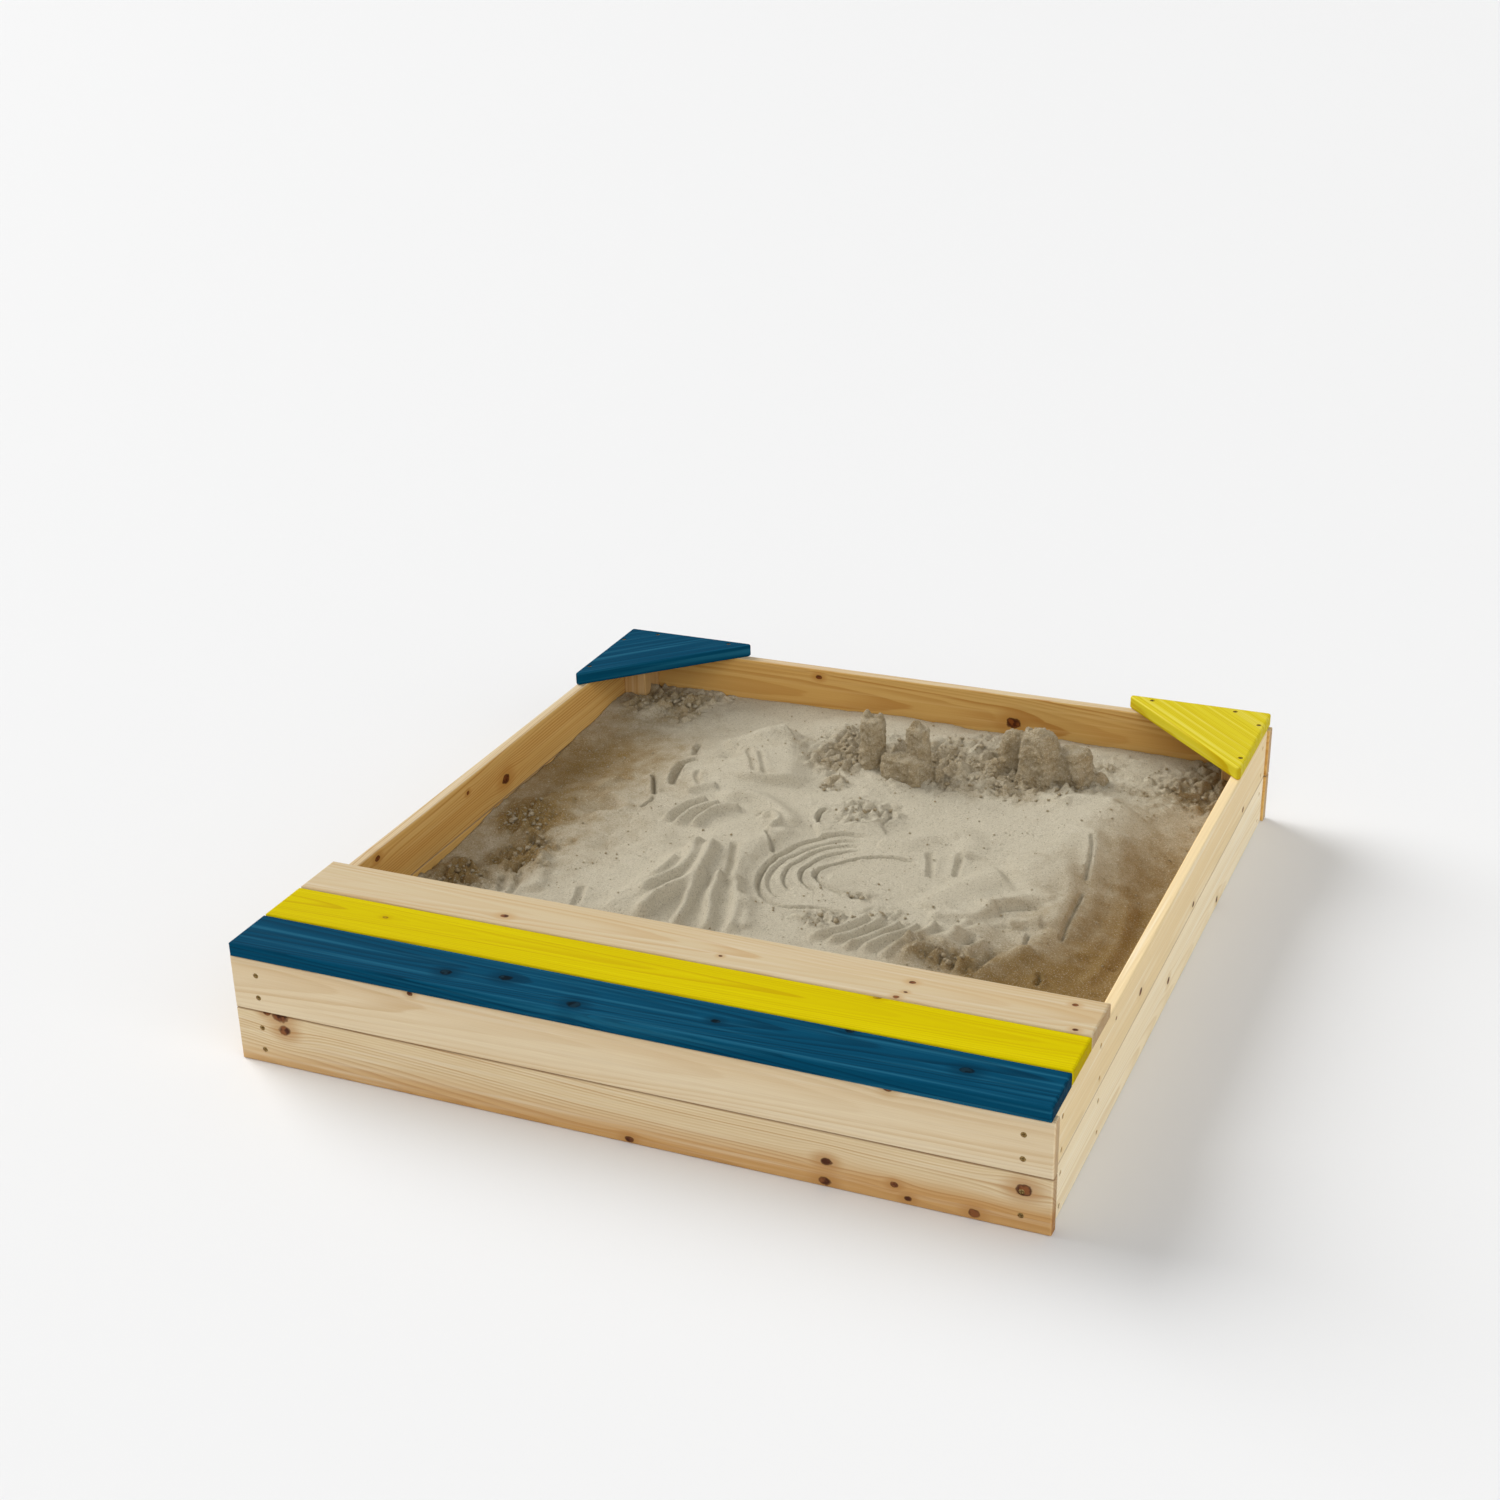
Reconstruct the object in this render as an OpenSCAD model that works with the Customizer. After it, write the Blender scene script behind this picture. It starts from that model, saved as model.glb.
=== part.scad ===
// Low wooden sandbox with two corner seats and a hinged storage bench along the front wall.
// The origin is at the middle of the footprint, on the ground. The front wall faces -Y and +Z is up.

/* [Frame] */
// Outside width along the front wall
frame_w = 1180; // [900:10:1600]
// Outside depth from the front face to the back face
frame_d = 1280; // [1000:10:1700]
// Height of one wall board; each wall is two boards high
board_h = 83; // [65:1:120]
// Thickness of the wall boards
board_t = 18; // [14:1:24]
// Radius of the eased edges on the wall boards
board_edge_r = 3; // [1:0.5:4]
// How far the side walls stand back from the ends of the front and back boards
side_inset = 5; // [0:1:12]

/* [Posts and divider] */
// Corner post and divider cleat, size across the sandbox
post_w = 42; // [34:1:50]
// Corner post, size from front to back
post_d = 58; // [50:1:70]
// Divider cleat, size from front to back
cleat_d = 44; // [36:1:50]
// Radius of the eased edges on posts, cleats and battens
batten_edge_r = 2; // [1:0.5:3]
// Height of the post, cleat and divider feet above the ground
foot_gap = 3; // [2:0.5:6]
// Drop of the post tops below the top of the walls
post_drop = 2; // [1:0.5:6]

/* [Bench lid] */
// Width of one bench plank
plank_w = 88.5; // [70:0.5:110]
// Thickness of the bench planks
plank_t = 22; // [18:1:30]
// Radius of the eased edges on the bench planks
plank_edge_r = 4; // [2:0.5:5]
// Gap between neighbouring planks
plank_gap = 2; // [1:0.5:5]
// How far the front plank stands out past the front wall
lid_overhang = 5; // [2:1:15]
// How far each plank end stands back from the end of the front wall
lid_end_inset = 4; // [0:1:12]
// Running gap between the closed lid and the tops of the walls
lid_gap = 0.4; // [0.3:0.1:2]
// Width of the battens under the lid
batten_w = 42; // [34:1:60]
// Thickness of the battens under the lid
batten_t = 18; // [12:1:22]
// Clearance from a batten end to the walls of the storage space
batten_end_gap = 9; // [5:1:20]
// Distance from the middle batten to each outer batten
batten_spacing = 440; // [380:10:470]

/* [Hinges] */
// Distance from the middle of the lid to each hinge
hinge_offset = 300; // [200:10:350]
// Length of a hinge along its pin
hinge_l = 64; // [50:1:90]
// Height of a hinge leaf from the pin
leaf_h = 18; // [15:0.5:20]
// Thickness of a hinge leaf
leaf_t = 1.8; // [1.5:0.1:2.5]
// Outside radius of the hinge knuckles
barrel_r = 3.8; // [3.4:0.1:4.5]
// Radius of the hinge pin
pin_r = 1.5; // [1.2:0.1:1.8]
// Clearance between the knuckles and the lid edge
barrel_gap = 0.3; // [0.2:0.1:0.8]
// Radial running clearance of the hinge pin
pin_clear = 0.05; // [0.03:0.01:0.08]

/* [Corner seats] */
// Length of the two short sides of a corner seat
seat_leg = 236; // [180:2:300]
// Thickness of a corner seat
seat_t = 22; // [18:1:30]
// Radius of the blunted corners of a corner seat
seat_corner_r = 5; // [4.5:0.5:10]
// Radius of the eased edges on a corner seat
seat_edge_r = 3.5; // [1.5:0.5:4]
// How far a corner seat stands out past the back wall
seat_overhang = 5; // [0:1:12]

/* [Screws] */
// Length of the frame screws
frame_screw_l = 40; // [32:1:45]
// Length of the corner seat screws
seat_screw_l = 36; // [32:1:38]
// Length of the screws through the battens
batten_screw_l = 32; // [26:1:34]
// Length of the hinge screws
hinge_screw_l = 14; // [10:1:16]
// Shank radius of the wood screws
screw_r = 2; // [1.5:0.1:2.2]
// Head radius of the wood screws
screw_head_r = 4; // [3.5:0.1:4.5]
// Depth of the screw heads below the surface
screw_sink = 1; // [0:0.1:2]
// Clearance around every screw
screw_clear = 0.1; // [0.05:0.05:0.3]

/* [Sand, liner and cover] */
// Depth of the sand above the ground sheet
sand_depth = 86; // [40:1:110]
// Gap between the sand and the wood around it
sand_gap = 0.3; // [0.2:0.1:1]
// Thickness of the ground sheet
sheet_t = 1; // [0.5:0.1:2]
// Length of the folded cover
cover_l = 392; // [300:2:420]
// Width of the folded cover
cover_w = 186; // [120:2:196]
// Height of the folded cover
cover_h = 44; // [20:1:80]
// Distance from the folded cover to the left wall of the storage space
cover_offset = 90; // [60:5:160]

/* [Hidden] */
$fn = 48;

// Heights and faces of the frame
wall_h = 2 * board_h;
front_y = -frame_d / 2;
back_y = frame_d / 2;
inner_front_y = front_y + board_t;
inner_back_y = back_y - board_t;
side_x = frame_w / 2 - side_inset;
inner_x = side_x - board_t;

// The lid's back edge is flush with the sand side of the divider
lid_d = 3 * plank_w + 2 * plank_gap;
lid_front_y = front_y - lid_overhang;
divider_y = lid_front_y + lid_d;
lid_l = frame_w - 2 * lid_end_inset;
lid_z = wall_h + lid_gap;
batten_y0 = inner_front_y + batten_end_gap;
batten_y1 = divider_y - board_t - batten_end_gap;

// The hinge pin lies just behind the divider, level with the joint under the lid
pin_y = divider_y + barrel_gap + barrel_r;
pin_z = wall_h + lid_gap / 2;
knuckles = 5;
knuckle_gap = 0.3;
pin_head_t = 1;
leaf_screw_x = hinge_l / 2 - 10;
leaf_screw_z = 11;
hinge_screw_r = 1.4;
hinge_head_r = 2.9;
hinge_screw_sink = 0.1;

// Screw rows: heights above the lower edge of each board, and distances in from the walls
end_screw_z = [22, 57];
side_screw_z = [14, 63];
end_screw_x = inner_x - 17;
corner_screw_y = inner_back_y - 30;
cleat_screw_y = divider_y - board_t - cleat_d / 2;
divider_screw_x = inner_x - post_w / 2;
seat_screw_near = 57;
seat_screw_far = 197;
batten_screw_side = 11;
head_rim = 0.5;
// Cross recess of a screw head: its width, and its reach and depth as shares of the head radius
recess_w = 0.9;
recess_reach = 0.58;
recess_depth = 0.36;

// Cover's place on the ground sheet, in the left half of the storage space
cover_x = -inner_x + cover_offset + cover_l / 2;
cover_y = (inner_front_y + divider_y - board_t) / 2;
cover_edge_r = 12;

natural = "burlywood";
pale = "wheat";
blue = "#17526e";
yellow = "#d9c413";
zinc = "silver";
brassy = "#b79a5b";

// A rectangle with rounded corners, centred on the origin
module rounded_rect(size, r) {
    square([size[0] - 2 * r, size[1]], center = true);
    square([size[0], size[1] - 2 * r], center = true);
    for (x = [-1, 1], y = [-1, 1]) {
        translate([x * (size[0] / 2 - r), y * (size[1] / 2 - r)]) {
            circle(r);
        }
    }
}

// A block with every edge eased, standing from its low corner
module eased_block(size, r) {
    translate(size / 2) {
        intersection() {
            linear_extrude(size[2], center = true) {
                rounded_rect([size[0], size[1]], r);
            }
            rotate([90, 0, 0]) {
                linear_extrude(size[1], center = true) {
                    rounded_rect([size[0], size[2]], r);
                }
            }
            rotate([90, 0, 90]) {
                linear_extrude(size[0], center = true) {
                    rounded_rect([size[1], size[2]], r);
                }
            }
        }
    }
}

// A countersunk wood screw with a cross recess; it points down and its head is level with z = 0
module wood_screw(len, r, head_r) {
    tip_l = 2.5 * r;
    difference() {
        rotate_extrude() {
            polygon([
                [0, 0],
                [head_r, 0],
                [head_r, -head_rim],
                [r, -head_rim - head_r + r],
                [r, -len + tip_l],
                [0.2 * r, -len],
                [0, -len]
            ]);
        }
        for (turn = [0, 90]) {
            rotate(turn) {
                translate([-head_r * recess_reach, -recess_w / 2, -head_r * recess_depth]) {
                    cube([2 * head_r * recess_reach, recess_w, head_r]);
                }
            }
        }
    }
}

// The hole for such a screw, from the surface at z = 0, with the head sunk below it
module screw_hole(len, r, head_r, sink) {
    hole_r = r + screw_clear;
    mouth_r = head_r + screw_clear;
    cone_h = mouth_r - hole_r;
    translate([0, 0, -sink - len - screw_clear]) {
        cylinder(h = len + sink, r = hole_r);
    }
    translate([0, 0, -sink - head_rim - screw_clear]) {
        cylinder(h = sink + head_rim + screw_clear + 1, r = mouth_r);
    }
    translate([0, 0, -sink - head_rim - screw_clear - cone_h]) {
        cylinder(h = cone_h, r1 = hole_r, r2 = mouth_r);
    }
}

module frame_screw() {
    translate([0, 0, -screw_sink]) {
        wood_screw(frame_screw_l, screw_r, screw_head_r);
    }
}

module frame_hole() {
    screw_hole(frame_screw_l, screw_r, screw_head_r, screw_sink);
}

module seat_screw() {
    translate([0, 0, -screw_sink]) {
        wood_screw(seat_screw_l, screw_r, screw_head_r);
    }
}

module seat_hole() {
    screw_hole(seat_screw_l, screw_r, screw_head_r, screw_sink);
}

module batten_screw() {
    translate([0, 0, -screw_sink]) {
        wood_screw(batten_screw_l, screw_r, screw_head_r);
    }
}

module batten_hole() {
    screw_hole(batten_screw_l, screw_r, screw_head_r, screw_sink);
}

module hinge_screw() {
    translate([0, 0, -hinge_screw_sink]) {
        wood_screw(hinge_screw_l, hinge_screw_r, hinge_head_r);
    }
}

module hinge_hole() {
    screw_hole(hinge_screw_l, hinge_screw_r, hinge_head_r, hinge_screw_sink);
}

// Places for the screws through the front wall (end = -1) or the back wall (end = 1)
module at_end_screws(end, sides, levels) {
    for (side = sides, level = levels, h = end_screw_z) {
        translate([side * end_screw_x, end * frame_d / 2, level * board_h + h]) {
            rotate([end * -90, 0, 0]) {
                children();
            }
        }
    }
}

// Places for the screws through a side wall, in columns at the given distances from the middle
module at_side_screws(side, columns, levels) {
    for (y = columns, level = levels, h = side_screw_z) {
        translate([side * side_x, y, level * board_h + h]) {
            rotate([0, side * 90, 0]) {
                children();
            }
        }
    }
}

// Places for the screws through the divider boards into the cleats, driven from the sand side
module at_divider_screws(sides, levels) {
    for (side = sides, level = levels, h = end_screw_z) {
        translate([side * divider_screw_x, divider_y, level * board_h + h]) {
            rotate([-90, 0, 0]) {
                children();
            }
        }
    }
}

// Places for the four screws of a corner seat, driven down into the middle of the wall boards
module at_seat_screws(side) {
    for (along = [seat_screw_near, seat_screw_far]) {
        translate([side * (side_x - board_t / 2), back_y + seat_overhang - along, wall_h + seat_t]) {
            children();
        }
        translate([side * (side_x - along), back_y - board_t / 2, wall_h + seat_t]) {
            children();
        }
    }
}

// Places for the screws up through one batten into the given planks, counted from the back
module at_batten_screws(place, planks) {
    for (p = planks, dx = [-batten_screw_side, batten_screw_side]) {
        translate([place * batten_spacing + dx, plank_screw_y(p), lid_z - batten_t]) {
            rotate([180, 0, 0]) {
                children();
            }
        }
    }
}

function plank_y(p) = divider_y - plank_w - p * (plank_w + plank_gap);
function plank_screw_y(p) =
    min(batten_y1 - 12, max(batten_y0 + 12, plank_y(p) + plank_w / 2));

// Places for the screws of the hinge leaves; up = 1 is the lid leaf, up = -1 the wall leaf
module at_leaf_screws(sides, up) {
    for (side = sides, dx = [-leaf_screw_x, leaf_screw_x]) {
        translate([side * hinge_offset + dx, divider_y + leaf_t, pin_z + up * leaf_screw_z]) {
            rotate([-90, 0, 0]) {
                children();
            }
        }
    }
}

// One board of the front or back wall
module end_board(end, level) {
    difference() {
        translate([-frame_w / 2, end < 0 ? front_y : inner_back_y, level * board_h]) {
            eased_block([frame_w, board_t, board_h], board_edge_r);
        }
        at_end_screws(end, [-1, 1], [level]) {
            frame_hole();
        }
        if (end > 0 && level == 1) {
            at_seat_screws(-1) {
                seat_hole();
            }
            at_seat_screws(1) {
                seat_hole();
            }
        }
    }
}

// One board of a side wall, butted between the front and back boards
module side_board(side, level) {
    difference() {
        translate([side < 0 ? -side_x : inner_x, inner_front_y, level * board_h]) {
            eased_block([board_t, inner_back_y - inner_front_y, board_h], board_edge_r);
        }
        at_side_screws(side, [-corner_screw_y, cleat_screw_y, corner_screw_y], [level]) {
            frame_hole();
        }
        if (level == 1) {
            at_seat_screws(side) {
                seat_hole();
            }
        }
    }
}

// One corner post, screwed to both walls from outside
module corner_post(side, end) {
    difference() {
        translate([
            side < 0 ? -inner_x : inner_x - post_w,
            end < 0 ? inner_front_y : inner_back_y - post_d,
            foot_gap
        ]) {
            eased_block([post_w, post_d, wall_h - foot_gap - post_drop], batten_edge_r);
        }
        at_end_screws(end, [side], [0, 1]) {
            frame_hole();
        }
        at_side_screws(side, [end * corner_screw_y], [0, 1]) {
            frame_hole();
        }
    }
}

// One board of the divider between the sand and the storage space
module divider_board(level) {
    z0 = level == 0 ? foot_gap : board_h;
    difference() {
        translate([-inner_x, divider_y - board_t, z0]) {
            eased_block([2 * inner_x, board_t, (level + 1) * board_h - z0], board_edge_r);
        }
        at_divider_screws([-1, 1], [level]) {
            frame_hole();
        }
        if (level == 1) {
            at_leaf_screws([-1, 1], -1) {
                hinge_hole();
            }
        }
    }
}

// The cleat that carries one end of the divider
module divider_cleat(side) {
    difference() {
        translate([
            side < 0 ? -inner_x : inner_x - post_w,
            divider_y - board_t - cleat_d,
            foot_gap
        ]) {
            eased_block([post_w, cleat_d, wall_h - foot_gap - post_drop], batten_edge_r);
        }
        at_divider_screws([side], [0, 1]) {
            frame_hole();
        }
        at_side_screws(side, [cleat_screw_y], [0, 1]) {
            frame_hole();
        }
    }
}

// A round plate with eased rims, one corner of a seat
module eased_disc() {
    rotate_extrude($fn = 32) {
        intersection() {
            translate([0, seat_t / 2]) {
                rounded_rect([2 * seat_corner_r, seat_t], seat_edge_r, $fn = 16);
            }
            square([seat_corner_r, seat_t]);
        }
    }
}

// A triangular seat over one back corner
module corner_seat(side) {
    near = seat_corner_r;
    far = seat_leg - seat_corner_r;
    difference() {
        hull() {
            for (p = [[near, near], [far, near], [near, far]]) {
                translate([side * (side_x - p[0]), back_y + seat_overhang - p[1], wall_h]) {
                    eased_disc();
                }
            }
        }
        at_seat_screws(side) {
            seat_hole();
        }
    }
}

// One plank of the bench lid, counted from the back
module bench_plank(p) {
    difference() {
        translate([-lid_l / 2, plank_y(p), lid_z]) {
            eased_block([lid_l, plank_w, plank_t], plank_edge_r);
        }
        for (place = [-1, 0, 1]) {
            at_batten_screws(place, [p]) {
                batten_hole();
            }
        }
        if (p == 0) {
            at_leaf_screws([-1, 1], 1) {
                hinge_hole();
            }
        }
    }
}

// A batten that joins the three planks from below
module lid_batten(place) {
    difference() {
        translate([place * batten_spacing - batten_w / 2, batten_y0, lid_z - batten_t]) {
            eased_block([batten_w, batten_y1 - batten_y0, batten_t], batten_edge_r);
        }
        at_batten_screws(place, [0, 1, 2]) {
            batten_hole();
        }
    }
}

// Knuckles from number first, every second one, along the hinge
module knuckle_row(first, r, grow) {
    pitch = hinge_l / knuckles;
    for (k = [first : 2 : knuckles - 1]) {
        translate([-hinge_l / 2 + k * pitch + knuckle_gap / 2 - grow, 0, 0]) {
            rotate([0, 90, 0]) {
                cylinder(h = pitch - knuckle_gap + 2 * grow, r = r);
            }
        }
    }
}

// One leaf of a butt hinge; up = 1 goes on the lid and up = -1 on the divider
module hinge_leaf(side, up) {
    own = up < 0 ? 0 : 1;
    other = 1 - own;
    plate_y = -barrel_r - barrel_gap;
    difference() {
        translate([side * hinge_offset, pin_y, pin_z]) {
            difference() {
                union() {
                    knuckle_row(own, barrel_r, 0);
                    translate([-hinge_l / 2, plate_y, up < 0 ? -leaf_h : 0]) {
                        cube([hinge_l, leaf_t, leaf_h]);
                    }
                }
                knuckle_row(other, barrel_r + barrel_gap + 0.15, knuckle_gap / 2);
                translate([-hinge_l, 0, 0]) {
                    rotate([0, 90, 0]) {
                        cylinder(h = 2 * hinge_l, r = pin_r + pin_clear);
                    }
                }
            }
        }
        at_leaf_screws([side], up) {
            hinge_hole();
        }
    }
}

// A hinge pin with a low round head at each end
module hinge_pin(side) {
    translate([side * hinge_offset - hinge_l / 2 - pin_head_t, pin_y, pin_z]) {
        rotate([0, 90, 0]) {
            cylinder(h = hinge_l + 2 * pin_head_t, r = pin_r);
            cylinder(h = pin_head_t, r = pin_r + 1);
            translate([0, 0, hinge_l + pin_head_t]) {
                cylinder(h = pin_head_t, r = pin_r + 1);
            }
        }
    }
}

module end_wall_screws(end) {
    at_end_screws(end, [-1, 1], [0, 1]) {
        frame_screw();
    }
}

module side_wall_screws(side) {
    at_side_screws(side, [-corner_screw_y, cleat_screw_y, corner_screw_y], [0, 1]) {
        frame_screw();
    }
}

module divider_screws() {
    at_divider_screws([-1, 1], [0, 1]) {
        frame_screw();
    }
}

module seat_screws(side) {
    at_seat_screws(side) {
        seat_screw();
    }
}

module batten_screws() {
    for (place = [-1, 0, 1]) {
        at_batten_screws(place, [0, 1, 2]) {
            batten_screw();
        }
    }
}

module hinge_screws(up) {
    at_leaf_screws([-1, 1], up) {
        hinge_screw();
    }
}

// The ground sheet lies flat on the ground, inside the walls and under the divider
module ground_sheet() {
    translate([-inner_x + sand_gap, inner_front_y + sand_gap, 0]) {
        cube([2 * (inner_x - sand_gap), inner_back_y - inner_front_y - 2 * sand_gap, sheet_t]);
    }
}

// The sand fills the box behind the divider and goes round the back posts
module sand_bed() {
    difference() {
        translate([-inner_x + sand_gap, divider_y + sand_gap, sheet_t]) {
            cube([
                2 * (inner_x - sand_gap),
                inner_back_y - divider_y - 2 * sand_gap,
                sand_depth
            ]);
        }
        for (side = [-1, 1]) {
            translate([side * inner_x, inner_back_y, wall_h / 2]) {
                cube([2 * (post_w + sand_gap), 2 * (post_d + sand_gap), 2 * wall_h], center = true);
            }
        }
    }
}

// The weather cover, folded flat and put away in the storage space
module stowed_cover() {
    translate([cover_x - cover_l / 2, cover_y - cover_w / 2, sheet_t]) {
        eased_block([cover_l, cover_w, cover_h], cover_edge_r);
    }
}

color(pale) end_board(-1, 1);  // front_board_upper
color(natural) end_board(-1, 0);  // front_board_lower
color(pale) end_board(1, 1);  // back_board_upper
color(natural) end_board(1, 0);  // back_board_lower
color(pale) side_board(-1, 1);  // left_board_upper
color(natural) side_board(-1, 0);  // left_board_lower
color(pale) side_board(1, 1);  // right_board_upper
color(natural) side_board(1, 0);  // right_board_lower
color(natural) corner_post(-1, -1);  // post_front_left
color(natural) corner_post(1, -1);  // post_front_right
color(natural) corner_post(-1, 1);  // post_back_left
color(natural) corner_post(1, 1);  // post_back_right
color(pale) divider_board(1);  // divider_board_upper
color(natural) divider_board(0);  // divider_board_lower
color(natural) divider_cleat(-1);  // divider_cleat_left
color(natural) divider_cleat(1);  // divider_cleat_right
color(blue) corner_seat(-1);  // corner_seat_blue
color(yellow) corner_seat(1);  // corner_seat_yellow
color(pale) bench_plank(0);  // bench_plank_natural
color(yellow) bench_plank(1);  // bench_plank_yellow
color(blue) bench_plank(2);  // bench_plank_blue
color(natural) lid_batten(-1);  // lid_batten_left
color(natural) lid_batten(0);  // lid_batten_middle
color(natural) lid_batten(1);  // lid_batten_right
color(zinc) hinge_leaf(-1, -1);  // hinge_wall_leaf_left
color(zinc) hinge_leaf(1, -1);  // hinge_wall_leaf_right
color(zinc) hinge_leaf(-1, 1);  // hinge_lid_leaf_left
color(zinc) hinge_leaf(1, 1);  // hinge_lid_leaf_right
color(zinc) hinge_pin(-1);  // hinge_pin_left
color(zinc) hinge_pin(1);  // hinge_pin_right
color(brassy) end_wall_screws(-1);  // front_wall_screws
color(brassy) end_wall_screws(1);  // back_wall_screws
color(brassy) side_wall_screws(-1);  // left_wall_screws
color(brassy) side_wall_screws(1);  // right_wall_screws
color(brassy) divider_screws();
color(brassy) seat_screws(-1);  // seat_screws_blue
color(brassy) seat_screws(1);  // seat_screws_yellow
color(brassy) batten_screws();
color(zinc) hinge_screws(-1);  // hinge_wall_screws
color(zinc) hinge_screws(1);  // hinge_lid_screws
color("dimgray") ground_sheet();
color("tan") sand_bed();
color("darkseagreen") stowed_cover();
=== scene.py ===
import math

import bpy
import numpy as np
from mathutils import Matrix, Vector


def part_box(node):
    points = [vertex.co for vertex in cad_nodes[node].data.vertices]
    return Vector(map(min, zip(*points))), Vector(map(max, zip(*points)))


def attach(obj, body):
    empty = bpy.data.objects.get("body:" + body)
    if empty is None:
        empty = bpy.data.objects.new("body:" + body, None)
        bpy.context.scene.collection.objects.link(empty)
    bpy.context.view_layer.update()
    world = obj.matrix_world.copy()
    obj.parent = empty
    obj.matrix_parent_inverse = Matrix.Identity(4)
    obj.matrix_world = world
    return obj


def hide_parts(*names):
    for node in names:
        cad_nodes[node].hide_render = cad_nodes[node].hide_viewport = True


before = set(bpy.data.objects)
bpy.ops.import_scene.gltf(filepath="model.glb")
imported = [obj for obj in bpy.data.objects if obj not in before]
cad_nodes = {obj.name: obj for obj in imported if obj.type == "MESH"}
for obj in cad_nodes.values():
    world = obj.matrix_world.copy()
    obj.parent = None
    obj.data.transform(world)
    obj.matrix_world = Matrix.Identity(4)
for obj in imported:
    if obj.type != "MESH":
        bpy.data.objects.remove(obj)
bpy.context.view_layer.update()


# ---- Front and back walls -------------------------------------------------------------
# Two planed softwood boards stand one on the other in each wall, 18 mm thick with eased
# edges. They are left untreated, and they run past the side walls at both ends.

def tint(red, green, blue):
    """A colour as a paint chart gives it, 0 to 255, in the linear values that a shader takes."""
    shades = [level / 255 for level in (red, green, blue)]
    return tuple(s / 12.92 if s < 0.04 else ((s + 0.055) / 1.055) ** 2.4 for s in shades) + (1.0,)


def start_finish(name):
    """A new material, its node tree and its surface shader."""
    finish = bpy.data.materials.new(name)
    finish.use_nodes = True
    tree = finish.node_tree
    return finish, tree, tree.nodes["Principled BSDF"]


def add(tree, kind, inputs, output=0, **settings):
    """Adds one shader node and gives one of its outputs. An input is a value or another output."""
    made = tree.nodes.new("ShaderNode" + kind)
    for key, value in settings.items():
        setattr(made, key, value)
    for key, value in inputs.items():
        if isinstance(value, bpy.types.NodeSocket):
            tree.links.new(value, made.inputs[key])
        else:
            made.inputs[key].default_value = value
    return made.outputs[output]


def calc(tree, operation, *values):
    """Arithmetic on numbers."""
    return add(tree, "Math", dict(enumerate(values)), operation=operation)


def move(tree, operation, *values):
    """Arithmetic on points and directions."""
    return add(tree, "VectorMath", dict(enumerate(values)), operation=operation)


def scale(tree, direction, factor):
    """Makes a direction longer or shorter."""
    return add(tree, "VectorMath", {0: direction, 3: factor}, operation="SCALE")


def length_of(tree, direction):
    """How long a direction is."""
    return add(tree, "VectorMath", {0: direction}, 1, operation="LENGTH")


def dot(tree, one, other):
    """How far one direction goes along another."""
    return add(tree, "VectorMath", {0: one, 1: other}, 1, operation="DOT_PRODUCT")


def split(tree, place, sides="XYZ"):
    """The parts of a place or direction along the named axes."""
    return [add(tree, "SeparateXYZ", {0: place}, side) for side in sides]


def ease(tree, value, start, end, low=0.0, high=1.0):
    """Goes smoothly from low to high while the value goes from start to end."""
    ends = {0: value, 1: start, 2: end, 3: low, 4: high}
    return add(tree, "MapRange", ends, interpolation_type="SMOOTHSTEP")


def over(tree, share, under, upper, blend="MIX"):
    """Lays one colour over another."""
    return add(tree, "Mix", {0: share, 6: under, 7: upper}, 2, data_type="RGBA", blend_type=blend)


def emboss(tree, shader, relief, strength, depth):
    """Raises the surface by up to the depth where the relief is high."""
    bump = add(tree, "Bump", {"Strength": strength, "Distance": depth, "Height": relief})
    tree.links.new(bump, shader.inputs["Normal"])


def grain_noise(tree, place, along, across, detail=2.0, output=0):
    """Noise drawn out along the grain, from features per metre along and across it."""
    stretched = move(tree, "MULTIPLY", place, (along, across, across))
    return add(tree, "TexNoise", {"Vector": stretched, "Scale": 1.0, "Detail": detail}, output)


PLAIN = {
    "early": tint(214, 196, 160),
    "late": tint(186, 150, 102),
    "heart": tint(197, 158, 103),
    "fibre": tint(226, 213, 186),
    "knot": tint(130, 80, 46),
    "bark": tint(74, 40, 24),
    "contrast": 0.6,
    "roughness": 0.68,
    "sheen": 0.12,
}
RUDDY = dict(PLAIN, early=tint(219, 200, 162), late=tint(172, 124, 70), heart=tint(194, 148, 88))
STRIPED = dict(PLAIN, late=tint(178, 136, 86), contrast=0.85)
FRONT = dict(PLAIN, early=tint(224, 208, 176), contrast=0.45)
RING = 0.0036
TAPER = 0.02
SEED_ALONG = 1.7
SEED_ACROSS = (0.0, 0.37, 0.73)


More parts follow.
